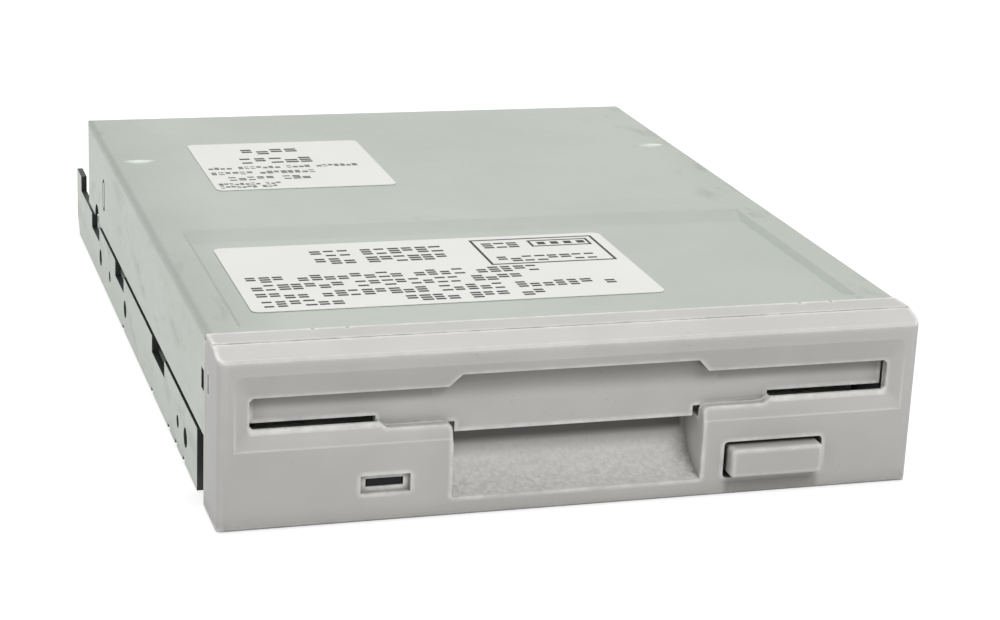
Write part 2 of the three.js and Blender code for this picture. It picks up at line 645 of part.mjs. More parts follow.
function chassis() {
  let body = fuse(floorPlate(), chassisWall(-1), chassisWall(1));
  for (const side of sides) {
    const cutX = sided(side, [halfWidth - notches.deep, halfWidth + gap.overrun]);
    for (const range of notches.top) body = carve(body, block(cutX, range, [notches.low, drive.height]));
    for (const y of slide.pinY) {
      const plateX = sided(side, [upright.inner, upright.outer]);
      const pinSlot = [pin.z - load.drop - pin.radius - gap.run, drive.height];
      body = fuse(body, carve(
        block(plateX, span(y, upright.half), [gutter.z[0], upright.top]),
        block(plateX, span(y, pin.radius + gap.run), pinSlot),
      ));
    }
    for (const [x, y] of [[posts.frontX, posts.frontY], [posts.rearX, posts.rearY]]) {
      body = fuse(
        body,
        rodZ(posts.radius, side * x, y, [floorZ[0], posts.top], 12),
        rodZ(posts.tip, side * x, y, [floorZ[0], posts.tipTop], 12),
      );
    }
    body = fuse(body, rodZ(hook.radius, side * slide.springX, hook.chassisY, [floorZ[0], hook.top], 12));
  }
  for (const [x, y] of standoff.motor) {
    const boss = rodZ(standoff.radius, x, y, [motorBoardZ[1] + gap.seat, floorZ[1]], 16);
    body = carve(fuse(body, boss), rodZ(standoff.bore, x, y, [0, floorZ[0]], 12));
  }
  for (const [x, y] of standoff.main) {
    const boss = rodZ(standoff.radius, x, y, [mainBoardZ[1] + gap.seat, floorZ[1]], 16);
    body = carve(fuse(body, boss), rodZ(standoff.bore, x, y, [0, floorZ[0]], 12));
  }
  add('chassis', body, 'zincSteel');
}

// Top cover: a pressed shell with a sunk front panel, two dimples and a cut-out in each flange
const cover = { half: halfWidth - gap.slip, front: 9.1, flangeFront: 10.8, flangeLow: 9.9,
  panelHalf: halfWidth - inset.panel, panelY: [11.9, 58.9],
  panelDeep: 0.9, panelSlope: 0.9, rearSlope: 4.2, dimpleX: halfWidth - inset.dimple, dimpleY: 101.4, dimple: [3.9, 1.7, 1],
  dimpleLift: 0.55, cutY: 121, cutRadius: 2.6, snapZ: [16.3, 19.3], snapEnd: 13.4,
  mark: { y: 112, z: [15, 18.2], outer: 1.3, inner: 0.75, deep: 0.3 } };

function topCover() {
  const t = sheet.cover;
  const runY = [cover.front, drive.coverRear];
  const panelTopX = span(0, cover.panelHalf);
  const panelLowX = span(0, cover.panelHalf - cover.panelSlope);
  const panelLowY = [cover.panelY[0] + cover.panelSlope, cover.panelY[1] - cover.rearSlope];
  const low = coverTop - cover.panelDeep;
  let body = block(span(0, cover.half), runY, [coverUnder, coverTop]);
  body = fuse(body, frustum(panelTopX, cover.panelY, panelLowX, panelLowY, [low - t, coverTop - t / 2]));
  body = carve(body, frustum(panelTopX, cover.panelY, panelLowX, panelLowY, [low, coverTop]));
  for (const side of sides) {
    const flangeX = sided(side, [cover.half - t, cover.half]);
    body = fuse(body, block(flangeX, [cover.flangeFront, drive.coverRear], [cover.flangeLow, coverTop]));
    const [a, b, c] = cover.dimple;
    const { mark } = cover;
    const markX = sided(side, [cover.half - mark.deep, cover.half + gap.overrun]);
    const markEnds = [[mark.y, mark.z[0]], [mark.y, mark.z[1]]];
    const ring = carve(
      prismX(track(...markEnds, mark.outer), markX, 4),
      prismX(track(...markEnds, mark.inner), markX, 4),
    );
    const dimple = solid(new THREE.SphereGeometry(1, 12, 8).rotateX(Math.PI / 2).scale(a, b, c));
    body = carve(
      body,
      at(dimple, side * cover.dimpleX, cover.dimpleY, coverTop + cover.dimpleLift),
      rodX(cover.cutRadius, flangeX, cover.cutY, cover.flangeLow, 16),
      block(flangeX, [cover.flangeFront - gap.overrun, cover.snapEnd], cover.snapZ),
      ring,
    );
  }
  add('top_cover', body, 'zincSteel');
}

const labels = { thickness: 0.12, corner: 1.2, smallX: [-36.3, -6], smallY: [80.9, 111.2], largeX: [-42.4, 19.2],
  largeY: [19.9, 51.2] };

function paperLabels() {
  const t = labels.thickness;
  const high = [coverTop + gap.seat, coverTop + gap.seat + t];
  const panel = coverTop - cover.panelDeep;
  const low = [panel + gap.seat, panel + gap.seat + t];
  add('label_small', prismZ(rectangle(labels.smallX, labels.smallY, labels.corner), high), 'paper');
  add('label_large', prismZ(rectangle(labels.largeX, labels.largeY, labels.corner), low), 'paper');
}

// Spindle motor: board under the floor, stator, bearing and a rotor that turns the disk's hub
const motor = {
  board: 1.2, boardTop: 5.8, boardHalf: halfWidth - inset.motorBoard, boardY: [16.5, 86], bearing: 5, bearingTop: 9, shaft: 2, stator: 19,
  statorZ: [6.2, 8.4], statorBore: 5.6, poles: 12, poleHalf: 1.1,
  windingEnd: 17, windingHalf: 1.75, hub: 8, cup: 24, cupLow: 6.4, cupTop: 10.4,
  cupSheet: 0.8, magnet: [20.2, 22.9], magnetZ: [6.6, 9.3], plate: 14, plateTop: 12.9, tip: 14.6, drivePinAt: 10.2,
  drivePin: 1.2, drivePinTop: 14.3, collar: 3.4,
};
const motorBoardZ = [motor.boardTop - motor.board, motor.boardTop];
const mainBoardZ = [1.8, 3.2];
const ledgeZ = mainBoardZ[1] + gap.seat;

function motorBoard() {
  let body = block(span(0, motor.boardHalf), motor.boardY, motorBoardZ);
  for (const [x, y] of standoff.motor) {
    body = carve(body, rodZ(standoff.bore + gap.run, x, y, [0, floorTop], 12));
  }
  add('motor_board', body, 'boardGreen');
}

function spindleMotor() {
  const on = motor.boardTop + gap.seat;
  const bore = motor.shaft + gap.slip;
  const bearing = turned([[bore, on], [motor.bearing, on], [motor.bearing, motor.bearingTop], [bore, motor.bearingTop]]);
  add('spindle_bearing', at(bearing, 0, spindleY), 'bronze');

  let stator = turned([
    [motor.statorBore, on], [motor.hub, on], [motor.hub, motor.statorZ[1]], [motor.statorBore, motor.statorZ[1]],
  ]);
  for (let pole = 0; pole < motor.poles; pole += 1) {
    const arm = block([motor.hub - gap.run, motor.stator], span(0, motor.poleHalf), motor.statorZ);
    const winding = block([motor.hub + gap.overrun, motor.windingEnd], span(0, motor.windingHalf),
      [motor.statorZ[0] - gap.slip, motor.statorZ[1]]);
    stator = fuse(stator, fuse(arm, winding).rotate([0, 0, (360 * pole) / motor.poles]));
  }
  add('stator', at(stator, 0, spindleY), 'copperWinding');

  const { cup, cupSheet: t } = motor;
  const hole = motor.collar;
  const rotor = turned([
    [hole, motor.cupTop - t], [cup - t, motor.cupTop - t], [cup - t, motor.cupLow], [cup, motor.cupLow],
    [cup, motor.cupTop], [hole, motor.cupTop],
  ], 40);
  add('rotor_cup', at(rotor, 0, spindleY), 'zincSteel');
  const [inner, outer] = motor.magnet;
  const [low, high] = motor.magnetZ;
  add('rotor_magnet', at(turned([[inner, low], [outer, low], [outer, high], [inner, high]], 40), 0, spindleY),
    'magnetGrey');
  const under = motor.cupTop + gap.seat;
  const neckR = motor.collar - gap.slip;
  const hub = turned([
    [0, on], [motor.shaft, on], [motor.shaft, motor.bearingTop + gap.run], [neckR, motor.bearingTop + gap.run],
    [neckR, under], [motor.plate, under], [motor.plate, motor.plateTop], [motor.shaft, motor.plateTop],
    [motor.shaft, motor.tip], [0, motor.tip],
  ]);
  const pinHole = rodZ(motor.drivePin + gap.run, motor.drivePinAt, 0, [under + gap.overrun, drive.height], 12);
  add('spindle_hub', at(carve(hub, pinHole), 0, spindleY), 'brightSteel');
  const pinZ = [under + gap.overrun + gap.seat, motor.drivePinTop];
  add('drive_pin', rodZ(motor.drivePin, motor.drivePinAt, spindleY, pinZ, 12), 'brightSteel');
}

// Head drive: stepper motor, lead screw, guide rod and carriage with both heads
const screw = { x: 16, z: 10.4, radius: 1.6, root: 0.95, rootHalf: 58, crestHalf: 78, y: [84, 117], slices: 10, rootSteps: 3,
  crestSteps: 7,
  journal: 0.8, journalFront: 77.6, journalRear: 120.5 };
const stepper = { radius: 9, y: [119.5, 136.5], boss: 2.8, bossFront: 117.6, bore: 1.1, boreEnd: 121, cap: 8.2,
  capLength: 1 };
const bracket = { x: [10.5, 28], y: [118.2, 119.2], z: [3.6, 19.6], hole: 3.1, cut: 2, footX: [20, 28], footFront: 109,
  screwY: 112.5 };
const guide = { x: -14, z: 10.8, radius: 1.3, y: [76.9, 126.3] };
const clip = { half: 3.2, front: [76.5, 79.8], rear: [123.4, 126.7], top: 13.2 };
const head = { y: 93.5, half: 3, top: 14, low: 14.3 };
const carriage = { tongueHalf: 6, tongueFront: 88.5, tongueZ: [10.9, 12.1], y: [98, 121.5], bottom: 8.6, top: 12.1,
  sleeveX: [-17.5, -10.5], sleeveEnd: 116, bodyX: [-10.5, 9], bodyEnd: 113.5, tailX: [-7, 5], postY: [116.8, 121.5],
  flagX: [-23.6, -17.5], flagY: [112, 116], flagZ: [10, 10.8], followerX: 14.85, followerY: 104, follower: 0.4,
  followerSeat: 2, pivotZ: 17, pivotY: 119.8 };

function leadScrew() {
  const turns = (screw.y[1] - screw.y[0]) / screwLead;
  const steps = Math.round(turns * screw.slices);
  const outline = [];
  const addArc = (radius, from, to, count) => {
    for (let i = 0; i <= count; i += 1) {
      const angle = THREE.MathUtils.degToRad(from + ((to - from) * i) / count);
      outline.push([radius * Math.cos(angle), radius * Math.sin(angle)]);
    }
  };
  addArc(screw.root, halfTurn - screw.rootHalf, halfTurn + screw.rootHalf, screw.rootSteps);
  addArc(screw.radius, halfTurn + screw.crestHalf, 3 * halfTurn - screw.crestHalf, screw.crestSteps);
  const length = screw.y[1] - screw.y[0];
  const geometry = new THREE.ExtrudeGeometry(polygon(outline), { depth: length, steps, bevelEnabled: false });
  const position = geometry.attributes.position;
  const vertex = new THREE.Vector3();
  const axis = new THREE.Vector3(0, 0, 1);
  for (let i = 0; i < position.count; i += 1) {
    vertex.fromBufferAttribute(position, i);
    const fromFollower = vertex.z - (screw.y[1] - carriage.followerY);
    vertex.applyAxisAngle(axis, (2 * Math.PI * fromFollower) / screwLead);
    position.setXYZ(i, vertex.x, vertex.y, vertex.z);
  }
  const thread = at(solid(geometry).rotate([90, 0, 0]), screw.x, screw.y[1], screw.z);
  const journalY = [screw.journalFront, screw.journalRear];
  add('lead_screw', fuse(thread, rodY(screw.journal, screw.x, journalY, screw.z, 12)), 'brightSteel');
}

function stepperMotor() {
  const bodyY = [stepper.y[0], stepper.y[1] - stepper.capLength];
  const body = fuse(
    rodY(stepper.radius, screw.x, bodyY, screw.z, 32),
    rodY(stepper.cap, screw.x, stepper.y, screw.z, 32),
    rodY(stepper.boss, screw.x, [stepper.bossFront, stepper.y[0] + gap.overrun], screw.z, 16),
  );
  const bore = rodY(stepper.bore, screw.x, [stepper.bossFront - gap.overrun, stepper.boreEnd], screw.z, 12);
  add('stepper_motor', carve(body, bore), 'zincSteel');

  const on = floorTop + gap.seat;
  const foot = block(bracket.footX, [bracket.footFront, bracket.y[1]], [on, on + sheet.chassis]);
  const plate = fuse(block(bracket.x, bracket.y, bracket.z), foot);
  const footX = (bracket.footX[0] + bracket.footX[1]) / 2;
  const holes = [
    rodY(bracket.hole, screw.x, span(bracket.y[0], bracket.cut), screw.z, 24),
    rodZ(small.shank + gap.slip, footX, bracket.screwY, [0, drive.height], 12),
  ];
  add('stepper_bracket', carve(plate, ...holes), 'zincSteel');

  const bearingY = [clip.front[0], clip.front[1]];
  const bearing = block(span(screw.x, clip.half), bearingY, [on, clip.top]);
  const journal = rodY(screw.journal + gap.slip, screw.x, span(bearingY[0], bearingY[1]), screw.z, 12);
  add('screw_bearing', carve(bearing, journal), 'darkPlastic');
}

function guideRod() {
  add('guide_rod', rodY(guide.radius, guide.x, guide.y, guide.z, 20), 'brightSteel');
  for (const [name, range] of [['rod_clip_front', clip.front], ['rod_clip_rear', clip.rear]]) {
    const body = block(span(guide.x, clip.half), range, [floorTop + gap.seat, clip.top]);
    const bore = rodY(guide.radius + gap.slip, guide.x, [range[0] - gap.overrun, range[1] + gap.overrun], guide.z, 20);
    add(name, carve(body, bore), 'darkPlastic');
  }
}

function headCarriage() {
  const z = [carriage.bottom, carriage.top];
  const tailY = [carriage.bodyEnd - gap.run, carriage.y[1]];
  let body = fuse(
    block(carriage.sleeveX, [carriage.y[0], carriage.sleeveEnd], z),
    block([carriage.bodyX[0] - gap.run, carriage.bodyX[1]], [carriage.y[0], carriage.bodyEnd], z),
    block(span(0, carriage.tongueHalf), [carriage.tongueFront, carriage.y[0] + gap.overrun], carriage.tongueZ),
    block(carriage.tailX, tailY, [carriage.flagZ[0], carriage.top]),
    block(carriage.tailX, carriage.postY, [carriage.flagZ[0], carriage.pivotZ - gap.overrun]),
    block([carriage.flagX[0], carriage.sleeveX[0] + gap.run], carriage.flagY, carriage.flagZ),
  );
  const boreY = [carriage.y[0] - gap.overrun, carriage.sleeveEnd + gap.overrun];
  const seatX = [carriage.bodyX[1] - carriage.followerSeat, carriage.bodyX[1] + gap.overrun];
  body = carve(
    body,
    rodY(guide.radius + gap.slip, guide.x, boreY, guide.z, 20),
    rodX(carriage.follower + gap.slip, seatX, carriage.followerY, screw.z, 12),
  );
  add('head_carriage', body, 'darkPlastic');
  const pinX = [seatX[0] + gap.seat, carriage.followerX];
  add('follower_pin', rodX(carriage.follower, pinX, carriage.followerY, screw.z, 12), 'brightSteel');
  const low = [carriage.top + gap.seat, head.top];
  add('lower_head', block(span(0, head.half), span(head.y, head.half), low), 'ceramic');
}

// The upper head's arm rests raised, turned about its rear pivot, and comes down as a disk is loaded
const arm = { half: 7, front: 89.5, z: [16.6, 17.5], rear: 121, tipHalf: 4.5, tipEnd: 100 };

function raised(body) {
  const lifted = body.translate([0, -carriage.pivotY, -carriage.pivotZ]).rotate([-load.armDrop, 0, 0]);
  return lifted.translate([0, carriage.pivotY, carriage.pivotZ]);
}

function upperArm() {
  const outline = polygon([
    [-arm.tipHalf, arm.front],
    [arm.tipHalf, arm.front],
    [arm.tipHalf, arm.tipEnd],
    [carriage.tailX[1], arm.tipEnd + arm.tipHalf],
    [carriage.tailX[1], arm.rear],
    [carriage.tailX[0], arm.rear],
    [carriage.tailX[0], arm.tipEnd + arm.tipHalf],
    [-arm.tipHalf, arm.tipEnd],
  ]);
  add('upper_head_arm', raised(prismZ(outline, arm.z)), 'zincSteel');
  const hung = [head.low, arm.z[0] - gap.run];
  add('upper_head', raised(block(span(0, head.half), span(head.y, head.half), hung)), 'ceramic');
}

const sensor = { beyond: 2.4, reach: 3.6, half: 3.3, top: 13, throat: 1.2, back: 1.5 };

function trackSensor() {
  const on = mainBoardZ[1] + gap.seat;
  const sensorX = [carriage.flagX[0] - sensor.beyond, carriage.flagX[0] + sensor.reach];
  const sensorY = span((carriage.flagY[0] + carriage.flagY[1]) / 2, sensor.half);
  const throatZ = [carriage.flagZ[0] - sensor.throat / 2, carriage.flagZ[1] + sensor.throat / 2];
  const body = block(sensorX, sensorY, [on, sensor.top]);
  const throat = block([sensorX[0] + sensor.back, sensorX[1] + gap.overrun],
    [sensorY[0] - gap.overrun, sensorY[1] + gap.overrun], throatZ);
  add('track_zero_sensor', carve(body, throat), 'darkPlastic');
}

// Main board with its connectors, and the lamp behind its window
const main = { half: halfWidth - inset.main, y: [96, 146.4], cutX: [5.8, 26.2], cutY: [118.6, 138], chip: 6, chipAt: [-22, 132],
  chipTall: 1.5, corner: 0.6 };
const signal = { x: 16.25, columns: 17, pitch: 2.54, y: [139, 142.6], top: 10.4, pin: 0.32, pinEnd: 147.7, rowZ: 6.6,
  margin: 1 };
const power = { x: -34.5, half: 6.6, y: [137.6, 147.6], top: 9.4, wall: 1, pins: 4, pitch: 2.5, pin: 0.5, floor: 2,
  pinBack: 1.5, pinZ: 6.2 };

function mainBoard() {
  let body = carve(
    block(span(0, main.half), main.y, mainBoardZ),
    block(main.cutX, main.cutY, [0, drive.height]),
  );
  for (const [x, y] of standoff.main) {
    body = carve(body, rodZ(standoff.bore + gap.run, x, y, [0, floorTop], 12));
  }
  add('main_board', body, 'boardGreen');
  const [x, y] = main.chipAt;
  const chipZ = [mainBoardZ[0] - gap.seat - main.chipTall, mainBoardZ[0] - gap.seat];
  add('controller_chip', prismZ(rectangle(span(x, main.chip), span(y, main.chip), main.corner), chipZ, 1), 'darkPlastic');
}

function connectors() {
  const on = mainBoardZ[1] + gap.seat;
  const length = (signal.columns - 1) * signal.pitch;
  const half = length / 2 + signal.margin;
  let header = block(span(signal.x, half), signal.y, [on, signal.top]);
  for (let column = 0; column < signal.columns; column += 1) {
    const x = signal.x - length / 2 + column * signal.pitch;
    for (const side of sides) {
      const z = signal.rowZ + (side * signal.pitch) / 2;
      header = fuse(header, block(span(x, signal.pin), [signal.y[1] - gap.run, signal.pinEnd], span(z, signal.pin)));
    }
  }
  add('signal_connector', header, 'darkPlastic');

  const inner = power.half - power.wall;
  let socket = carve(
    block(span(power.x, power.half), power.y, [on, power.top]),
    block(span(power.x, inner), [power.y[0] + power.floor, drive.rearEnd], [on + power.wall, power.top - power.wall]),
  );
  for (let i = 0; i < power.pins; i += 1) {
    const x = power.x + (i - (power.pins - 1) / 2) * power.pitch;
    const pinY = [power.y[0] + power.floor - gap.run, power.y[1] - power.pinBack];
    socket = fuse(socket, block(span(x, power.pin), pinY, span(power.pinZ, power.pin)));
  }
  add('power_connector', socket, 'whitePlastic');
}

const lens = { end: 16.2, flange: 1, flangeStart: 3 };
const led = { half: 1.5, behind: 0.8, deep: 3, tall: 2.1, tip: 0.6 };

function activityLamp() {
  const guideFront = lamp.recessDepth + gap.slip;
  const x = span(lamp.x, lamp.half - gap.slip);
  const z = span(lamp.z, lamp.tall - gap.slip);
  const wideZ = span(lamp.z, lamp.tall + gap.slip);
  const wideX = span(lamp.x, lamp.half + lens.flange);
  const body = fuse(
    block(x, [guideFront, lens.end], z),
    block(wideX, [bezel.plate + gap.seat, lens.flangeStart + lens.flange], wideZ),
  );
  add('lamp_window', body, 'smokedLens');
  const ledY = [lens.end + led.behind, lens.end + led.behind + led.deep];
  const on = motor.boardTop + gap.seat;
  const ledBody = fuse(
    block(span(lamp.x, led.half), ledY, [on, on + led.tall]),
    rodY(led.tip, lamp.x, [lens.end + gap.run, ledY[0] + gap.run], on + led.tall / 2, 12),
  );
  add('activity_lamp', ledBody, 'whitePlastic');
}

// Flat cables: one from the motor board to the main board, one from the stepper motor to the main board
const flat = { thickness: 0.3, motorX: [-12, -2], motorY: [80, 88, 94, 101], stepperY: [124, 131], stepperAt: 6.3,
  stepperTop: 10.4, stepperEnd: -1.5 };

function flatCables() {
  const t = flat.thickness;
  const high = motorBoardZ[0] - gap.seat;
  const low = mainBoardZ[1] + gap.seat;
  const [y0, y1, y2, y3] = flat.motorY;
  const sloping = polygon([
    [y0, high - t], [y1, high - t], [y2, low], [y3, low], [y3, low + t], [y2, low + t], [y1, high], [y0, high],
  ]);
  add('motor_cable', prismX(sloping, flat.motorX), 'whitePlastic');
  const x = flat.stepperAt;
  const bent = polygon([
    [flat.stepperEnd, low], [x + t, low], [x + t, flat.stepperTop], [x, flat.stepperTop], [x, low + t],
    [flat.stepperEnd, low + t],
  ]);
  add('stepper_cable', prismY(bent, flat.stepperY), 'whitePlastic');
}

// Sense switches: small plungers that the loaded disk presses or finds a hole over
const sense = { half: 2.9, deep: 2.3, tall: 2.5, plunger: 0.9, rise: 1.55, sunk: 0.85, travel: 1 };
const switches = [['density_switch', -38.6], ['write_protect_switch', 38.6]];

function senseSwitches() {
  const on = floorTop + gap.seat;
  const top = on + sense.tall;
  const y = slide.switchY[0] + gap.run + sense.deep;
  for (const [name, x] of switches) {
    const wellFloor = top - sense.sunk - sense.travel - gap.slip;
    const well = rodZ(sense.plunger + gap.slip, x, y, [wellFloor, drive.height], 12);
    const body = block(span(x, sense.half), span(y, sense.deep), [on, top]);
    add(name, carve(body, well), 'darkPlastic');
    const plunger = rodZ(sense.plunger, x, y, [top - sense.sunk, top + sense.rise], 12);
    add(name.replace('switch', 'plunger'), plunger, 'whitePlastic');
  }
}

// Small pan head screws
const small = { head: 2.3, headTall: 1.1, shank: 0.95, bite: 1.4 };

const screwLength = motor.board + small.bite;

function smallScrews() {
  const panHead = (x, y, seat, up) => {
    const headZ = up > 0 ? [seat, seat + small.headTall] : [seat - small.headTall, seat];
    const shankZ = up > 0 ? [seat - screwLength, seat] : [seat, seat + screwLength];
    return fuse(rodZ(small.head, x, y, headZ, 12), rodZ(small.shank, x, y, shankZ, 8));
  };
  standoff.motor.forEach(([x, y], i) => {
    add(`motor_screw_${i + 1}`, panHead(x, y, motorBoardZ[0] - gap.seat, -1), 'brightSteel');
  });
  standoff.main.forEach(([x, y], i) => {
    add(`board_screw_${i + 1}`, panHead(x, y, mainBoardZ[0] - gap.seat, -1), 'brightSteel');
  });
  const footX = (bracket.footX[0] + bracket.footX[1]) / 2;
  const seat = floorTop + sheet.chassis + 2 * gap.seat;
  const bracketScrew = fuse(
    rodZ(small.head, footX, bracket.screwY, [seat, seat + small.headTall], 12),
    rodZ(small.shank, footX, bracket.screwY, [floorTop + gap.seat, seat], 8),
  );
  add('bracket_screw', bracketScrew, 'brightSteel');
}

frontBezel();
sideShields();
dustDoor();
doorSpring();
ejectButton();
slidePlate();
diskHolder();
leverPivot();
shutterLever();
ejectSprings();
chassis();
topCover();
paperLabels();
motorBoard();
spindleMotor();
leadScrew();
stepperMotor();
guideRod();
headCarriage();
upperArm();
trackSensor();
mainBoard();
connectors();
activityLamp();
flatCables();
senseSwitches();
smallScrews();

for (const [name, space] of Object.entries(springGaps)) {
  console.log(`${name}: least gap between curls ${space.toFixed(2)} mm`);
}

group.position.y = (button.proud - drive.rearEnd) / 2;

export default group;
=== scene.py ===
"""Looks of the floppy disk drive: finishes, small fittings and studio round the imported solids.

Sizes are in millimetres in the drive's own terms: X to the right, depth behind the bezel's face, and height
above the resting plane. MeshMaker turns them to the frame's metres.
"""

import logging
import math
import random
from collections.abc import Callable
from dataclasses import dataclass, field
from enum import Enum

import bmesh
import bpy
from mathutils import Matrix, Vector

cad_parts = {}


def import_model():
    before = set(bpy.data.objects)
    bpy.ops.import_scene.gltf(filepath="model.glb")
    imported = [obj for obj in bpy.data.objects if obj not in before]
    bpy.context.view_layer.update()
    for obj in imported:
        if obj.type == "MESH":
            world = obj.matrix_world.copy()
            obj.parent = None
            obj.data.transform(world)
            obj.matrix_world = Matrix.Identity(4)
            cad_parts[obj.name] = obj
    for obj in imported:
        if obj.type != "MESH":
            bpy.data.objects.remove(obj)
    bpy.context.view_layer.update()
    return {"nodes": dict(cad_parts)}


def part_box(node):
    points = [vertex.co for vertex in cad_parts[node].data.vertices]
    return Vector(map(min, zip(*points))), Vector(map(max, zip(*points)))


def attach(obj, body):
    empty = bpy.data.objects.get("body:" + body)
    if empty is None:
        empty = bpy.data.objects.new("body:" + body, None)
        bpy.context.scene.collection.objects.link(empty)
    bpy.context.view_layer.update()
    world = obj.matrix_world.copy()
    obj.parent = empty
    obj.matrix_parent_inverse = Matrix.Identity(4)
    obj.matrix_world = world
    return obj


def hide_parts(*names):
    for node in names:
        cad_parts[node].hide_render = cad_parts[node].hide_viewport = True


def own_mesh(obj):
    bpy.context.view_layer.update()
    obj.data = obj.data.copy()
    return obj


LOG = logging.getLogger("drive")
# Where the bezel's face stands in the frame, in metres
FACE_Y = -0.073
# Points nearer than this, in metres, are one point of the mesh
SAME_POINT = 0.000002
# Faces that turn by less than the first angle are level, and folds of more than the second are edges
LEVEL_ANGLE = math.radians(0.6)
EDGE_ANGLE = math.radians(32)
ROUNDING_STRIPS = 2
FLATNESS_WEIGHT = 90
# The wave texture's own factor. Its ridges lie two pi times the given size apart, coarser than the real rings
# and wire, so that they show
WAVE_FACTOR = 20


class Slot(Enum):
    """Material slots of the record."""

    BEZEL = "bezel_plastic"
    ZINC = "zinc_steel"
    BRIGHT = "bright_steel"
    SPRING = "spring_steel"
    PAPER = "paper"
    DARK = "dark_plastic"
    WHITE = "white_plastic"
    LENS = "smoked_lens"
    BOARD = "board_green"
    WINDING = "winding"
    MAGNET = "magnet"
    BRONZE = "bronze"
    CERAMIC = "ceramic"


def linear(code: str) -> tuple[float, float, float, float]:
    """Turns an sRGB hex colour to linear values with full opacity.

    Args:
        code: the colour, such as "#C8C8C4".

    Returns:
        Red, green, blue and alpha.
    """
    parts = [int(code[i : i + 2], 16) / 255 for i in (1, 3, 5)]
    red, green, blue = (v / 12.92 if v <= 0.04045 else ((v + 0.055) / 1.055) ** 2.4 for v in parts)
    return red, green, blue, 1.0


def per_mm(size: float) -> float:
    """Returns the texture scale at which one pattern cell measures that many millimetres."""
    return 1000.0 / size


def add_node(
    tree: bpy.types.NodeTree,
    kind: str,
    settings: dict | None = None,
    links: dict | None = None,
) -> bpy.types.Node:
    """Adds a shader node with its settings and links.

    Args:
        tree: the material's node tree.
        kind: Blender's name of the node type.
        settings: input sockets by name or number, or the node's own properties, with their values.
        links: input sockets by name or number, with the output that feeds each.

    Returns:
        The new node.
    """
    node = tree.nodes.new(kind)
    for key, value in (settings or {}).items():
        if isinstance(key, int) or key in node.inputs:
            node.inputs[key].default_value = value
        else:
            setattr(node, key, value)
    for key, source in (links or {}).items():
        tree.links.new(source, node.inputs[key])
    return node


def new_material(name: str) -> tuple[bpy.types.Material, bpy.types.NodeTree, bpy.types.NodeSocket]:
    """Starts a material.

    Args:
        name: the finish's name.

    Returns:
        The material, its empty node tree and the texture coordinates in the piece's own metres.
    """
    material = bpy.data.materials.new(name)
    material.use_nodes = True
    tree = material.node_tree
    tree.nodes.clear()
    return material, tree, add_node(tree, "ShaderNodeTexCoord").outputs["Object"]


def close_material(
    tree: bpy.types.NodeTree,
    settings: dict,
    links: dict,
    relief: tuple[bpy.types.NodeSocket, float, float],
) -> None:
    """Adds the fine relief, the principled shader with its settings and links, and the output.

    Args:
        tree: the material's node tree.
        settings: the shader's settings.
        links: the shader's inputs, with the output that feeds each.
        relief: the output that draws the relief, its strength and its depth in millimetres.
    """
    pattern, strength, depth = relief
    bump = add_node(
        tree, "ShaderNodeBump", {"Strength": strength, "Distance": depth / 1000}, {"Height": pattern}
    )
    shader = add_node(tree, "ShaderNodeBsdfPrincipled", settings, {**links, "Normal": bump.outputs[0]})
    add_node(tree, "ShaderNodeOutputMaterial", links={"Surface": shader.outputs[0]})


@dataclass(frozen=True)
class ShadowBand:
    """A painted shadow on the bezel, in millimetres from the face's middle foot.

    Attributes:
        across: its lowest and highest place across the face.
        behind: how far behind the face it begins and ends.
        fade: the heights where it begins and where it is full.
        top: the height where it ends.
        most: its largest share.
    """

    across: tuple[float, float]
    behind: tuple[float, float]
    fade: tuple[float, float]
    top: float
    most: float


